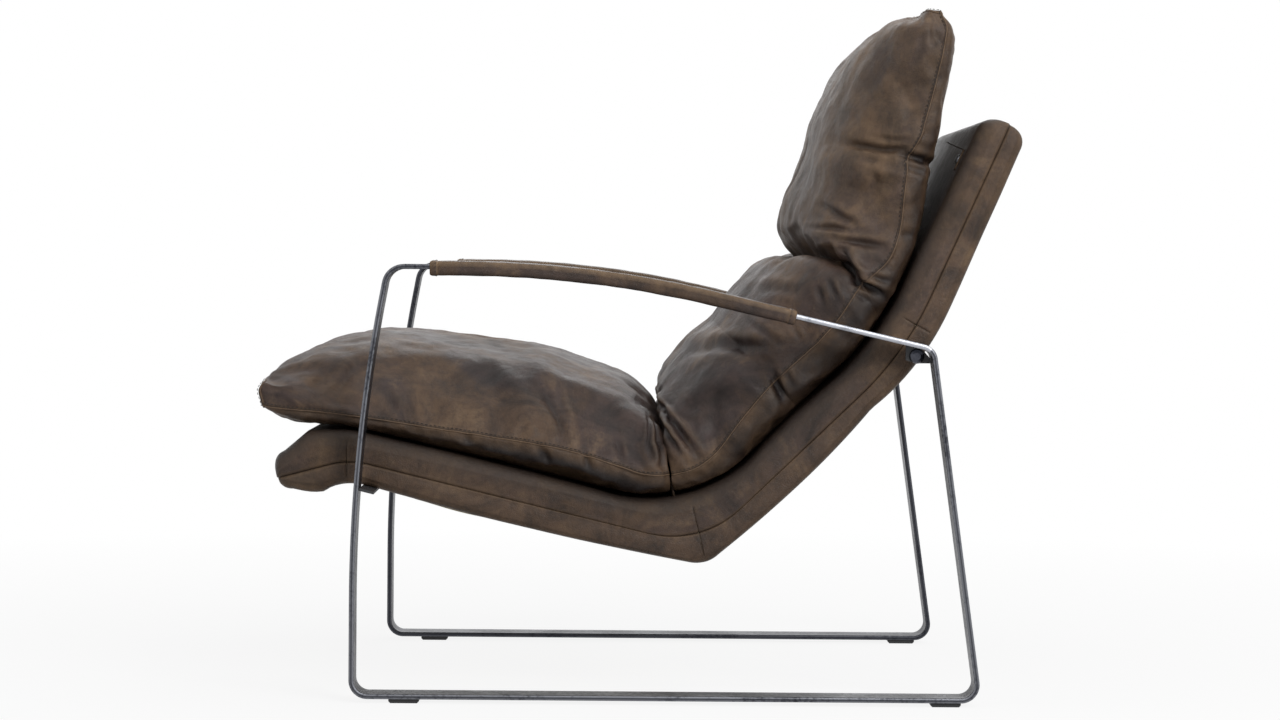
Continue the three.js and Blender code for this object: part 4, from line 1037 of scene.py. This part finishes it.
def shell_section(row, narrow, upper):
    """Points, wear and shade round a section of the upper or the lower leather."""
    along = row[ALONG]
    depth = row[ABOVE_LENGTH if upper else BELOW_LENGTH]
    # the upper edge is rounder along the back than under the seat cushion
    up_the_back = min(max((along - CREASE_ALONG) / (BEND_ALONG - CREASE_ALONG), 0.0), 1.0)
    radius = TOP_CORNER + (BACK_CORNER - TOP_CORNER) * up_the_back if upper else UNDER_CORNER
    radius = min(radius, depth * CORNER_ROOM)
    half = SHELL_HALF_WIDTH - narrow
    x, height = shell_outline(half, depth, radius)
    on_wall = np.isclose(np.abs(x), half)
    sign = np.sign(x)
    soft = broad_noise(sign, along, height)
    fine_soft = noises(sign * 5.0 + 3, along / FINE_ALONG, height / FINE_UP)
    cross, puckers = (sum(bump(along - seam, half_width) for seam in SIDE_SEAMS)
                      for half_width in (CROSS_SEAM_HALF, PUCKER_HALF))
    # the side swells out between the seam, which sinks, and the edge
    outside = (side_bulge(height / depth, soft) + FINE_SOFT * fine_soft * (height > FINE_SOFT_FROM)
               - mark(height, *SEAM_SINK) + mark(height, *SEAM_RIDGE)
               - CROSS_SEAM_SINK * cross - PUCKER_SOFT * puckers * fine_soft)
    across = np.clip(np.abs(x) / SHELL_HALF_WIDTH, 0, 1)
    if upper:
        rise = np.where(on_wall, 0, FLAT_SOFT * soft - FLAT_HOLLOW * (1 - across ** 2))
    else:
        rise = np.where(on_wall, 0, FLAT_SOFT * soft * (across > FLAT_SOFT_FROM))
        rise = rise + mark(along, *LIP_SAG) * np.clip((height + rise) / depth, 0, 1)
    raised = np.maximum(height + rise, LEAST_HEIGHT)
    points = placed(row, x + sign * outside * on_wall, raised if upper else -raised)
    seam_wear = (mark(height, *SEAM_WEAR) + CROSS_SEAM_WEAR * cross) * on_wall
    corner_wear = mark((height - depth) / radius, *CORNER_WEAR) * (np.abs(x) > half - radius)
    # painted bounce light on the lip's underside
    lip_wear = 0 if upper else mark(along, *LIP_PAINTED_LIGHT)
    seam_shade = (mark(height, *SEAM_SHADE) + CROSS_SEAM_SHADE * cross) * on_wall
    # painted shade, darker up the side towards the cushion
    shade_beside_cushion = np.interp(height / depth, *CUSHION_SHADE) * upper
    wear = np.clip(seam_wear + corner_wear + lip_wear, 0, 1)
    return points, wear, np.clip(seam_shade + shade_beside_cushion, 0, 1)


def over_window(row, column):
    """Whether a face of the lower leather lies where the dust cover closes its opening."""
    x = (SHELL_HALF_WIDTH - UNDER_CORNER) * (1 - 2 * (column - FLAT_START + 0.5) / (FLAT_COUNT - 1))
    return (abs(x) < SHELL_HALF_WIDTH - DUST_INSET - DUST_OVERLAP
            and DUST_START + DUST_OVERLAP < row[ALONG] < CREASE_ALONG - DUST_TO_CREASE - DUST_OVERLAP)


def shell_faces(rows, count, upper):
    """Faces over all sections, without the lower leather's opening, and over both ends."""
    faces = [face for face in grid_faces(len(rows), count)
             if upper or not over_window(rows[face[0] // count][0], face[0] % count)]
    # ends: strips across, from one side's points to the other's, and one face along the flat
    last_arc = FLAT_START - 1
    strips = [(k, k + 1, count - 2 - k, count - 1 - k) for k in range(last_arc)]
    strips.append(tuple(range(last_arc, count - last_arc)))
    last_row = (len(rows) - 1) * count
    faces += [strip[::-1] for strip in strips]
    return faces + [tuple(last_row + k for k in strip) for strip in strips]


def make_shell_half(name, node, upper, rows):
    sections = [shell_section(row, narrow, upper) for row, narrow in rows]
    points, wear, shade = (np.concatenate(part) for part in zip(*sections))
    obj = new_object(name, points, shell_faces(rows, len(sections[0][0]), upper), LEATHER_SHELL,
                     "leather_shell", node, wear=wear, shade=shade, warm=0.0 if upper else LOWER_WARMTH)
    turn_sheet(obj, 1 if upper else -1)
    thicken(obj, SHELL_LEATHER, -1.0)


def make_shell():
    rows = shell_rows()
    make_shell_half("shell_top_leather", "shell_cover", True, rows)
    make_shell_half("shell_band_leather", "shell_band", False, rows)

    # stitches above the seam along both sides
    runs = []
    stations = station_at(SHELL, np.arange(2, SHELL_LENGTH - 2, SEAM_STITCH_STEP))
    for _, sign in SIDES:
        soft = broad_noise(sign, stations[:, ALONG], SEAM_STITCH_HEIGHT)
        outside = side_bulge(SEAM_STITCH_HEIGHT / stations[:, ABOVE_LENGTH], soft) + SEAM_STITCH_RAISE
        line = [placed(row, sign * x, SEAM_STITCH_HEIGHT)[0]
                for row, x in zip(stations, SHELL_HALF_WIDTH + outside)]
        runs.append((line, np.tile((sign, 0, 0), (len(line), 1))))
    stitch_object("shell_stitches", runs, "leather_shell")


def make_dust_cover():
    end = CREASE_ALONG - DUST_TO_CREASE
    half = SHELL_HALF_WIDTH - DUST_INSET
    rows, columns = DUST_COUNTS
    stations = station_at(SHELL, np.linspace(DUST_START, end, rows))
    x = np.linspace(half, -half, columns)
    points = []
    for row in stations:
        along = row[ALONG]
        edge = np.minimum(half - np.abs(x), min(along - DUST_START, end - along))
        wave = np.sin(along / DUST_RIPPLE_PITCH + 2 * noises(x / 40, along / 60, 0))
        ripple = wave * mark(edge, *DUST_RIPPLE)
        slack = DUST_SLACK + mark(along - DUST_START, *DUST_SAG)
        sag = slack * np.clip(edge / DUST_FREE_FROM, 0, 1) ** 0.7
        points.append(placed(row, x, -(row[BELOW_LENGTH] + DUST_GAP + sag + ripple)))
    obj = new_object("dust_cover_cloth", np.vstack(points), grid_faces(rows, columns), DUST_CLOTH,
                     "dust_cloth", "dust_cover")
    turn_sheet(obj, -1)
    thicken(obj, DUST_CLOTH_THICKNESS, -1.0)


# Cushions

def cushion_ring(half_width, seam, crown, over_power, lift):
    """A section: points over the cushion, then as many under it, closer together near the side seams."""
    def bow(start, power, top):
        angle = start + np.linspace(0, math.pi, BOW_POINTS)
        c, s = np.cos(angle), np.sin(angle)
        line = np.column_stack((np.sign(c) * np.abs(c) ** (2 / power) * half_width,
                                seam + (top - seam) * np.abs(s) ** (2 / power)))
        along = lengths_along(line)
        place = np.linspace(0, 1, ACROSS + 1)
        place = (place - SIDE_CROWDING * np.sin(2 * math.pi * place) / (2 * math.pi)) * along[-1]
        return at_places(line, along, place)[:-1]

    return np.vstack((bow(0, over_power, crown), bow(math.pi, UNDER_POWER, lift)))


class Cushion:
    """A closed grid of sections along the cushion line, with filled ends."""

    def __init__(self, name, shares, start, length, section, shift):
        self.name = name
        self.rows = len(shares)
        columns = np.arange(RING)
        # 0 at a side seam and 1 halfway between the two, over or under the cushion
        inward = 1 - np.abs(2 * (columns % ACROSS) / ACROSS - 1)
        over = columns <= ACROSS
        sections = np.array([section(share) for share in shares])
        along = np.array([length * share + shift(share, inward, over) for share in shares])
        self.points = np.vstack([
            placed(station, x, height) for places, ring in zip(along, sections)
            for station, (x, height) in zip(station_at(LINE, start + places), ring)])
        self.along = along.ravel()
        self.share = np.repeat(shares, RING)
        self.row = np.repeat(np.arange(self.rows), RING)
        self.inward = np.tile(inward, self.rows)
        self.over = np.tile(over, self.rows)
        self.height = sections[:, :, 1].ravel()
        self.up = (sections[:, :, 1] - sections[:, :1, 1]).ravel()
        self.at_end = (self.row == 0) | (self.row == self.rows - 1)
        self.faces = grid_faces(self.rows, RING, wrap_columns=True)
        self.caps = [self.cap(0), self.cap(self.rows - 1)]

    def index(self, row, column):
        return row * RING + column % RING

    def cap(self, row):
        """Fills one end between the top and the bottom edge of its section. Returns its points."""
        base = len(self.points)
        ring = self.points[row * RING:(row + 1) * RING]
        top = ring[1:ACROSS]
        low = ring[:ACROSS:-1]
        between = [top + (low - top) * k / CAP_ROWS for k in range(1, CAP_ROWS)]
        self.points = np.vstack((self.points, *between))

        def at(k, j):
            if j in (0, ACROSS) or k == 0:
                return self.index(row, j)
            if k == CAP_ROWS:
                return self.index(row, -j)
            return base + (k - 1) * (ACROSS - 1) + j - 1

        for k in range(CAP_ROWS):
            for j in range(ACROSS):
                face = tuple(dict.fromkeys((at(k, j), at(k, j + 1), at(k + 1, j + 1), at(k + 1, j))))
                if len(face) > 2:
                    self.faces.append(face[::-1] if row == 0 else face)
        return slice(base, len(self.points))

    def grid_values(self, values, elsewhere=0.0):
        """Values of the grid's points followed by one value for the points of the caps."""
        return np.concatenate((values, np.full(len(self.points) - len(values), elsewhere)))

    def seams(self, end, beside):
        """Seams along both sides and along one end: their points, and the points beside them."""
        every = np.arange(self.rows)
        half = np.arange(ACROSS + 1)
        return [(self.index(every, 0), self.index(every, -1)),
                (self.index(every, ACROSS), self.index(every, ACROSS + 1)),
                (self.index(end, half), self.index(beside, half)),
                (self.index(end, -half), self.index(beside, -half))]


def swell(obj, weights):
    """Swells a leather case by cloth simulation. Returns how far each point moved, within a limit."""
    before = coordinates(obj.data)
    held = obj.vertex_groups.new(name="held")
    weights = np.round(weights, 2)
    for value in np.unique(weights[weights > 0]):
        held.add(np.nonzero(weights == value)[0].tolist(), float(value), "REPLACE")
    cloth = obj.modifiers.new("Swell", "CLOTH")
    for key, value in CLOTH.items():
        setattr(cloth.settings, key, value)
    cloth.settings.effector_weights.gravity = 0
    cloth.collision_settings.use_collision = False
    cloth.point_cache.frame_start = 1
    cloth.point_cache.frame_end = SWELL_FRAMES
    scene = bpy.context.scene
    for number in range(1, SWELL_FRAMES + 1):
        scene.frame_set(number)
    shown = obj.evaluated_get(bpy.context.evaluated_depsgraph_get())
    move = coordinates(shown.to_mesh()) - before
    shown.to_mesh_clear()
    obj.modifiers.remove(cloth)
    obj.vertex_groups.clear()
    scene.frame_set(1)
    limit = SWELL_MOST * MM
    length = np.maximum(np.linalg.norm(move, axis=1), 1e-9)
    return move * (limit * np.tanh(length / limit) / length)[:, None]


def smoothed(mesh, values):
    """Each point's value, half its own and half the average of its neighbours'."""
    edges = read(mesh.edges, "vertices", 2, np.int64)
    count = np.bincount(edges.ravel(), minlength=len(values))
    total = np.zeros_like(values)
    for here, there in (edges.T, edges.T[::-1]):
        np.add.at(total, here, values[there])
    return values * 0.5 + total / count[:, None] * 0.5


def refine(obj):
    """Subdivides the mesh once for good."""
    smooth = obj.modifiers.new("Smooth", "SUBSURF")
    smooth.levels = 1
    finer = bpy.data.meshes.new_from_object(obj.evaluated_get(bpy.context.evaluated_depsgraph_get()))
    finer.name = obj.data.name
    obj.modifiers.remove(smooth)
    obj.data = finer


def fold_depths(along, up, side, folds):
    """How far the leather is sunk or raised by folds drawn as (along, up from the side seam) points."""
    total = np.zeros(len(along))
    place = np.column_stack((along, up))
    for hand, line, depth, width in folds:
        line = np.asarray(line, dtype=float)
        low = line.min(axis=0) - FOLD_REACH * width
        high = line.max(axis=0) + FOLD_REACH * width
        near = np.nonzero((side * hand > 0) & np.all((place > low) & (place < high), axis=1))[0]
        here = place[near]
        best = np.full(len(near), np.inf)
        share = np.zeros(len(near))
        beside = np.zeros(len(near))
        starts = lengths_along(line)
        for a, b, begin, step in zip(line, line[1:], starts, np.diff(starts)):
            run = b - a
            t = np.clip(((here - a) @ run) / (run @ run), 0, 1)
            gap = here - (a + t[:, None] * run)
            distance = np.linalg.norm(gap, axis=1)
            closer = distance < best
            best = np.where(closer, distance, best)
            share = np.where(closer, (begin + t * step) / starts[-1], share)
            beside = np.where(closer, (run[0] * gap[:, 1] - run[1] * gap[:, 0]) / step, beside)
        fade = np.sin(np.pi * np.interp(share, (0, 1), FOLD_ENDS)) ** FOLD_POWER
        ridges = sum(mark(beside / width, *ridge) for ridge in FOLD_RIDGES)
        profile = ridges * bump(best / width, RIDGE_REACH) - bump(best / width, 1)
        total[near] += FOLD_SCALE * depth * fade * profile
    return total


def both_sides(folds):
    """The folds drawn on the near side, and much the same ones on the far side."""
    both = [(1.0, *fold) for fold in folds]
    for i, (line, depth, width) in enumerate(folds):
        slip = FAR_SLIP * math.sin(3 * i)
        line = [(along + slip, up * FAR_HEIGHT) for along, up in line]
        both.append((-1.0, line, depth * FAR_DEPTH, width))
    return both


def seam_run(points, normals, indices, beside):
    """Path, directions outwards and directions across for a seam through given points."""
    path = points[indices]
    table = np.hstack((path, normals[indices], points[beside] - path))
    along = lengths_along(path)
    places = np.linspace(0, along[-1], int(len(path) * SEAM_DETAIL))
    return np.hsplit(at_places(table, along, places), 3)


def sew(name, runs, slot):
    """Seams on the leather, each a dark joint beside the turned edge of one panel, with its stitches."""
    across, above, worn, dark = SEAM_PROFILE.T
    points = []
    faces = []
    for path, out, beside in runs:
        up = unit(out)
        side = unit(beside - up * (beside * up).sum(axis=1, keepdims=True))
        rows = path[:, None] + side[:, None] * (across * SEAM_HALF)[:, None] + up[:, None] * above[:, None]
        faces += grid_faces(len(path), len(across), start=len(points))
        points += list(rows.reshape(-1, 3))
    rows = len(points) // len(across)
    strips = new_object(f"{name}_seams", points, faces, LEATHER_CUSHION, slot,
                        wear=np.tile(worn, rows), shade=np.tile(dark, rows), warm=0.6)
    thicken(strips, SEAM_LEATHER, 0.0)
    stitch_object(f"{name}_stitches", [
        (path - unit(beside) * STITCH_FROM_SEAM + out * STITCH_ABOVE_SEAM, out)
        for path, out, beside in runs], slot)


def shape_cushion(cushion, node, weights, folds, seed, seams, box_shade, paler_above, dip=None):
    obj = new_object(cushion.name, cushion.points, cushion.faces, LEATHER_CUSHION, "leather_cushion", node)
    mesh = obj.data
    outward(obj)
    set_coordinates(mesh, coordinates(mesh) + smoothed(mesh, swell(obj, weights)))
    marks = {
        "fold_along": cushion.grid_values(cushion.along, FAR_FROM_FOLDS),
        "fold_up": cushion.grid_values(cushion.up),
        "under": cushion.grid_values(~cushion.over), "at_seam": cushion.grid_values(cushion.inward == 0),
        "dip": 0.0 if dip is None else cushion.grid_values(dip),
    }
    for name, values in marks.items():
        attribute(obj, name, values)
    refine(obj)
    mesh = obj.data
    along, up, under, at_seam, dipped = (
        read(mesh.attributes[name].data, "value", 1).ravel() for name in marks)
    for name in marks:
        mesh.attributes.remove(mesh.attributes[name])
    points = coordinates(mesh) / MM
    normals = read(mesh.vertex_normals, "vector", 3)
    depth = fold_depths(along, up, np.sign(points[:, 0]), folds)
    soft = sum(noises(*(points / size + seed + more).T) * height for size, height, more in LUMPS)
    free = np.where(under > 0.5, np.clip(-up / UNDER_LUMP_FROM, 0, 1) * UNDER_LUMP_SHARE, 1.0)
    set_coordinates(mesh, (points + normals * (depth + soft * free)[:, None]) * MM)
    # above a height, the cushion's upper face is mixed towards its worn colour
    high = np.clip((points[:, 2] - PALER_FROM) / PALER_BLEND, 0, 1)
    wear = AT_SEAM * at_seam + RIDGE_WEAR * np.clip(depth, 0, RIDGE_MOST) + paler_above * high * (1 - under)
    # painted shade on the boxing: darker where it faces sideways, and lower down towards the shell
    facing_side = np.clip(np.abs(normals[:, 0]) * 1.6 - 0.4, 0, 1)
    on_box = under * facing_side * np.clip(-up / BOX_SHADE_DEPTH, BOX_SHADE_LEAST, 1)
    # dark seams, and painted shade in the folds, on the boxing and along the deep channel
    shade = (AT_SEAM * at_seam + FOLD_SHADE * np.clip(-depth, 0, FOLD_MOST) + box_shade * on_box
             + DIP_SHADE * np.clip(dipped, 0, 1))
    for name, values in (("wear", wear), ("shade", shade), ("warm", under)):
        attribute(obj, name, np.clip(values, 0, 1))
    points = coordinates(mesh) / MM
    normals = read(mesh.vertex_normals, "vector", 3)
    sew(cushion.name, [seam_run(points, normals, *seam) for seam in seams], "leather_cushion")


def end_ears(share, inward, reach, inset):
    """Moves an end's corners outwards along the cushion and its middle inwards."""
    shift = reach * bump(inward, EAR_HALF) - inset * (1 - bump(inward, EAR_MIDDLE_HALF))
    return shift * np.clip(share, 0, 1)


def seat_section(share):
    draw = SEAT_SIDE_DRAW * math.sin(math.pi * share)
    sag = mark(share, *SEAT_SAG) * min(share / FRONT_SHARE, 1.0)
    return cushion_ring(SEAT_HALF_WIDTH * curve_at(SEAT_WIDTHS, share) - draw - CASE_INSET,
                        SEAT_CROWN * curve_at(SEAT_SEAMS, share),
                        SEAT_CROWN * curve_at(SEAT_CROWNS, share) - CASE_SWELL,
                        curve_at(SEAT_POWERS, share), CUSHION_REST - sag)


def seat_shift(share, inward, over):
    """The front's lower edge is set back, so that the front stands nearly upright."""
    lower = np.where(over, np.clip(1 - inward / FRONT_SIDE_SHARE, 0, 1), 1.0)
    front = max(1 - share / FRONT_BLEND_SHARE, 0)
    return FRONT_INSET * lower * front - end_ears(1 - share / FRONT_SHARE, inward, *FRONT_EARS)


SEAT_FOLDS = both_sides((
    # points as (along the cushion, above the side seam), depth, width
    ([(335, 58), (353, 40), (364, 24), (368, 11)], 3.6, 5.0),
    ([(346, 62), (360, 44), (372, 30)], 2.0, 3.5),
    ([(482, 57), (484, 36), (495, 19)], 2.6, 4.5),
    ([(496, 56), (506, 35), (507, 7)], 2.6, 4.0),
    ([(339, -2), (355, -20)], 2.6, 4.5),
    ([(431, 29), (440, 13)], 2.2, 4.0),
    ([(150, 34), (165, 13)], 1.6, 5.0),
    ([(92, 34), (102, 52), (117, 60)], 2.2, 5.5),
    ([(60, 30), (74, 44), (90, 50)], 1.5, 5.0),
    ([(394, 4), (407, -15)], 2.4, 4.0),
    ([(250, -2), (262, -14)], 1.8, 5.0),
    ([(200, 90), (240, 96), (290, 92)], 1.8, 7.0),
))


def make_seat():
    cushion = Cushion("seat_cushion_leather", SEAT_ROWS, 0.0, SEAT_END, seat_section, seat_shift)
    over_shell = cushion.along > SEAT_OVERHANG * REST_SHARE
    held = cushion.inward == 0
    resting = ~cushion.over & (cushion.height < REST_HEIGHT) & over_shell
    hanging = ~cushion.over & ~over_shell & ~held & (cushion.row > 0)
    weights = cushion.grid_values(np.where(hanging, HANG_HELD, held | resting | cushion.at_end))
    front_cap, rear_cap = cushion.caps
    weights[front_cap] = FRONT_HELD
    weights[rear_cap] = END_HELD
    shape_cushion(cushion, "seat_cushion", weights, SEAT_FOLDS, SEAT_SEED, cushion.seams(0, 1),
                  box_shade=1.0, paler_above=0)


def back_section(share):
    bounds = (0.0,) + CHANNELS + (1.0,)
    k = min(sum(share >= b for b in bounds) - 1, len(bounds) - 2)
    in_pillow = (share - bounds[k]) / (bounds[k + 1] - bounds[k])
    pull = max(1 - abs(share - channel) / CHANNEL_HALF for channel in bounds)
    draw = PILLOW_DRAW * math.sin(math.pi * in_pillow) + CHANNEL_DRAW * max(pull, 0.0)
    ring = cushion_ring(BACK_HALF_WIDTH - draw - CASE_INSET, BACK_CROWN * curve_at(BACK_SEAMS, share),
                        BACK_CROWN * curve_at(BACK_CROWNS, share) - CASE_SWELL,
                        curve_at(BACK_POWERS, share),
                        BACK_CROWN * curve_at(BACK_LIFTS, share) + CUSHION_REST)
    # the deep fold runs from near one side over the crown to the other
    inward = 1 - np.abs(2 * np.arange(ACROSS + 1) / ACROSS - 1)
    ring[:ACROSS + 1, 1] -= mark(share, *DEEP_FOLD) * np.clip(inward / DEEP_FROM_SIDE, 0, 1)
    return ring


def back_shift(share, inward, over):
    """The deep channel is warped along the cushion, and the head's corners stand out."""
    warp = np.where(
        over, np.sin(np.pi * np.clip(0.16 + 0.6 * inward, 0, 1)) * np.clip(1.35 - inward, 0, 1) ** 0.7,
        0.5 * np.clip(1 - inward / 0.3, 0, 1))
    return mark(share, *CHANNEL_WARP) * warp + end_ears(1 - (1 - share) / HEAD_SHARE, inward, *HEAD_EARS)


BACK_FOLDS = both_sides((
    ([(-12, 87), (10, 80), (31, 57), (40, 32), (46, 7)], 4.6, 6.0),
    ([(-5, 72), (11, 46), (22, 19)], 3.6, 4.5),
    ([(137, 90), (166, 71), (192, 50), (220, 29)], 3.6, 6.0),
    ([(217, 61), (221, 43), (226, 25)], 2.6, 4.0),
    ([(251, 31), (246, 16)], 2.0, 3.5),
    ([(392, 44), (374, 24), (362, 5)], 4.2, 4.0),
    ([(338, 32), (325, 17)], 3.0, 3.6),
    ([(320, 37), (307, 26)], 2.4, 3.4),
    ([(401, 58), (411, 36), (418, 12)], 3.4, 5.0),
    ([(408, 84), (418, 66), (424, 48)], 2.4, 5.0),
    ([(455, 83), (441, 66), (432, 47)], 3.0, 6.0),
    ([(540, 58), (539, 31), (545, 6)], 4.2, 4.5),
    ([(552, 40), (553, 22), (556, 8)], 1.8, 3.5),
    ([(524, 48), (526, 34)], 2.0, 4.0),
    ([(538, 102), (492, 106), (457, 110)], 2.6, 9.0),
    ([(538, 6), (534, -38)], 4.4, 4.5),
    ([(526, 2), (522, -24)], 1.8, 3.5),
    ([(192, 6), (181, -22)], 5.0, 5.0),
    ([(206, 0), (199, -18)], 2.4, 4.0),
    ([(358, 8), (360, -26)], 5.5, 5.0),
    ([(346, 0), (344, -18)], 2.4, 4.0),
    ([(374, 0), (380, -20)], 2.4, 4.0),
    ([(288, -2), (292, -18)], 1.6, 5.0),
    ([(440, -2), (446, -20)], 1.6, 5.0),
    ([(70, 60), (92, 52), (112, 56)], 1.6, 6.0),
    ([(600, 70), (628, 60), (660, 62)], 1.8, 8.0),
    ([(640, 30), (662, 26), (684, 30)], 1.4, 5.0),
    ([(480, 40), (500, 34), (516, 38)], 1.6, 5.0),
    ([(262, 78), (284, 66), (300, 50)], 2.2, 6.0),
))


def make_back():
    cushion = Cushion("back_cushion_leather", BACK_ROWS, BACK_START, BACK_LENGTH, back_section, back_shift)
    first, deep, last = (cushion.row == np.argmin(np.abs(BACK_ROWS - channel)) for channel in CHANNELS)
    weights = np.where((cushion.inward == 0) | cushion.at_end | (cushion.over & deep), 1.0, 0.0)
    drawn_in = CHANNEL_HELD * np.clip(1 - cushion.inward / CHANNEL_HELD_REACH, 0, 1) + CHANNEL_HELD_LEAST
    weights = np.where(first | last, np.maximum(weights, drawn_in), weights)
    on_shell = cushion.share < REST_SHARE
    weights = np.where(~cushion.over & (cushion.height < REST_HEIGHT) & on_shell, 1.0, weights)
    weights = np.where(~cushion.over & ~on_shell, np.maximum(weights, HEAD_HELD), weights)
    weights = cushion.grid_values(weights)
    lower_cap, head_cap = cushion.caps
    weights[lower_cap] = END_HELD
    weights[head_cap] = HEAD_HELD
    end = cushion.rows - 1
    # painted shade along the deep channel, across the crown
    dip = bump(cushion.share - DEEP_CHANNEL, DEEP_SHADE_HALF) * cushion.over
    dip *= np.clip(cushion.inward / DEEP_FROM_SIDE, 0, 1)
    shape_cushion(cushion, "back_cushion", weights, BACK_FOLDS, BACK_SEED, cushion.seams(end, end - 1),
                  box_shade=0.7, paler_above=0.22, dip=dip)


def make_join():
    """The leather strip that joins the two cushions along the crease."""
    station = station_at(LINE, SPLIT)[0]
    half = BACK_HALF_WIDTH - JOIN_SIDE
    out = JOIN_THICKNESS / 2 - JOIN_INSET
    columns, rows = JOIN_COUNTS
    x = np.linspace(half, -half, columns)
    heights = np.linspace(CUSHION_REST, JOIN_HEIGHT - CUSHION_REST, rows)
    tangent = np.array([0.0, -station[ABOVE_Z], station[ABOVE_Y]])
    wave = JOIN_WAVE * np.sin(x / JOIN_WAVE_LENGTH)[:, None]
    lines = [placed(station, x, height) + tangent * (out + wave) for height in heights]
    lines += [placed(station, x, height) + tangent * (wave - out) for height in heights[::-1]]
    # painted shade: the whole strip darkened, as it lies deep between the cushions
    obj = new_object("cushion_join_leather", np.stack(lines, axis=1).reshape(-1, 3),
                     tube_faces(len(x), len(lines)), LEATHER_CUSHION, "leather_cushion", "cushion_join",
                     shade=0.6)
    outward(obj)


def make_straps():
    foot = station_at(SHELL, SHELL_LENGTH - STRAP_BELOW_TOP)[0]
    rows = list(station_at(SHELL, np.linspace(foot[ALONG], foot[ALONG] + STRAP_FOOT, STRAP_ROWS)))
    head = rows[-1]
    for share in np.arange(1, STRAP_ROWS + 1) / STRAP_ROWS:
        row = head.copy()
        row[Y:Z + 1] += STRAP_RISE * head[ABOVE_Y:ABOVE_Z + 1] * share
        rows.append(row)
    half = STRAP_WIDTH / 2
    x = np.linspace(half, -half, STRAP_ACROSS)
    x = np.concatenate((x, x[::-1]))
    height = foot[ABOVE_LENGTH] + STRAP_GAP + np.repeat((STRAP_THICKNESS, 0.0), STRAP_ACROSS)
    wear = np.tile(np.where(np.abs(x) == half, STRAP_EDGE_WEAR, STRAP_WEAR), len(rows))
    for side, sign in SIDES:
        across = x + sign * (SHELL_HALF_WIDTH - STRAP_INSET)
        points = np.vstack([placed(row, across, height) for row in rows])
        obj = new_object(f"head_strap_leather_{side}", points, tube_faces(len(rows), len(x)), LEATHER_SHELL,
                         "leather_shell", f"head_strap_{side}", wear=wear)
        outward(obj)


# Camera, lights and floor

def make_camera():
    right_pixels, down_pixels = AIM_PIXELS
    across = right_pixels * math.cos(ROLL) + down_pixels * math.sin(ROLL)
    down = -right_pixels * math.sin(ROLL) + down_pixels * math.cos(ROLL)
    ahead = Vector((-FOCAL_PIXELS, across, -down)).normalized()
    right = Vector((0, math.cos(ROLL), math.sin(ROLL)))
    right = (right - ahead * right.dot(ahead)).normalized()
    data = bpy.data.cameras.new("camera")
    data.sensor_fit = "HORIZONTAL"
    data.sensor_width = SENSOR_WIDTH
    data.lens = FOCAL_PIXELS * SENSOR_WIDTH / FRAME_WIDTH
    data.clip_end = CLIP_END
    camera = bpy.data.objects.new("camera", data)
    turn = Matrix((right, right.cross(ahead), -ahead)).transposed().to_4x4()
    camera.matrix_world = Matrix.Translation(CAMERA_PLACE) @ turn
    bpy.context.scene.collection.objects.link(camera)
    bpy.context.scene.camera = camera


def make_world():
    world = bpy.data.worlds.new("studio")
    bpy.context.scene.world = world
    n = Nodes(world)
    n.tree.nodes.clear()
    ambient, white = (n.add("ShaderNodeBackground", {"Color": WHITE, "Strength": strength})
                      for strength in (AMBIENT, 1.0))
    n.blend(n.seen(), ambient, white, n.add("ShaderNodeOutputWorld"))


def make_floor():
    n = new_material("floor")
    seen = n.seen()
    # pale where it is seen, and darker for the light that it throws back up
    n.finish(Base_Color=n.spread(seen, 0.0, 1.0, FLOOR_BOUNCE, FLOOR_PALE), Roughness=0.9,
             Specular_IOR_Level=0.1)
    # white far away, and near the chair white enough to keep only its shadow
    position = n.add("ShaderNodeNewGeometry").outputs["Position"]
    distance = n.add("ShaderNodeVectorMath", {0: position}, operation="LENGTH").outputs["Value"]
    whiteness = n.spread(distance, SHADOW_NEAR, SHADOW_FAR, FLOOR_WHITE, 1.0)
    glow = n.add("ShaderNodeEmission", {"Color": WHITE, "Strength": 1.0})
    n.blend(n.math("MULTIPLY", seen, whiteness), n.tree.nodes["Principled BSDF"], glow,
            n.tree.nodes["Material Output"])
    mesh = bpy.data.meshes.new("floor")
    corners = ((-1, -1, 0), (1, -1, 0), (1, 1, 0), (-1, 1, 0))
    mesh.from_pydata([Vector(corner) * FLOOR_REACH for corner in corners], [], [(0, 1, 2, 3)])
    mesh.materials.append(n.data)
    floor = bpy.data.objects.new("floor", mesh)
    bpy.context.scene.collection.objects.link(floor)


def make_lamps():
    for name, place, aim, size, size_y, power in LAMPS:
        data = bpy.data.lights.new(name, "AREA")
        data.energy = power
        data.shape = "RECTANGLE"
        data.size = size
        data.size_y = size_y
        lamp = bpy.data.objects.new(name, data)
        lamp.location = place
        lamp.rotation_euler = (Vector(aim) - Vector(place)).to_track_quat("-Z", "Y").to_euler()
        bpy.context.scene.collection.objects.link(lamp)


make_camera()
dress_cad_nodes()
make_side_frames()
make_sleeves()
make_shell()
make_dust_cover()
make_seat()
make_back()
make_join()
make_straps()
make_world()
make_floor()
make_lamps()
bpy.context.scene.view_settings.view_transform = "Standard"


bpy.context.view_layer.update()
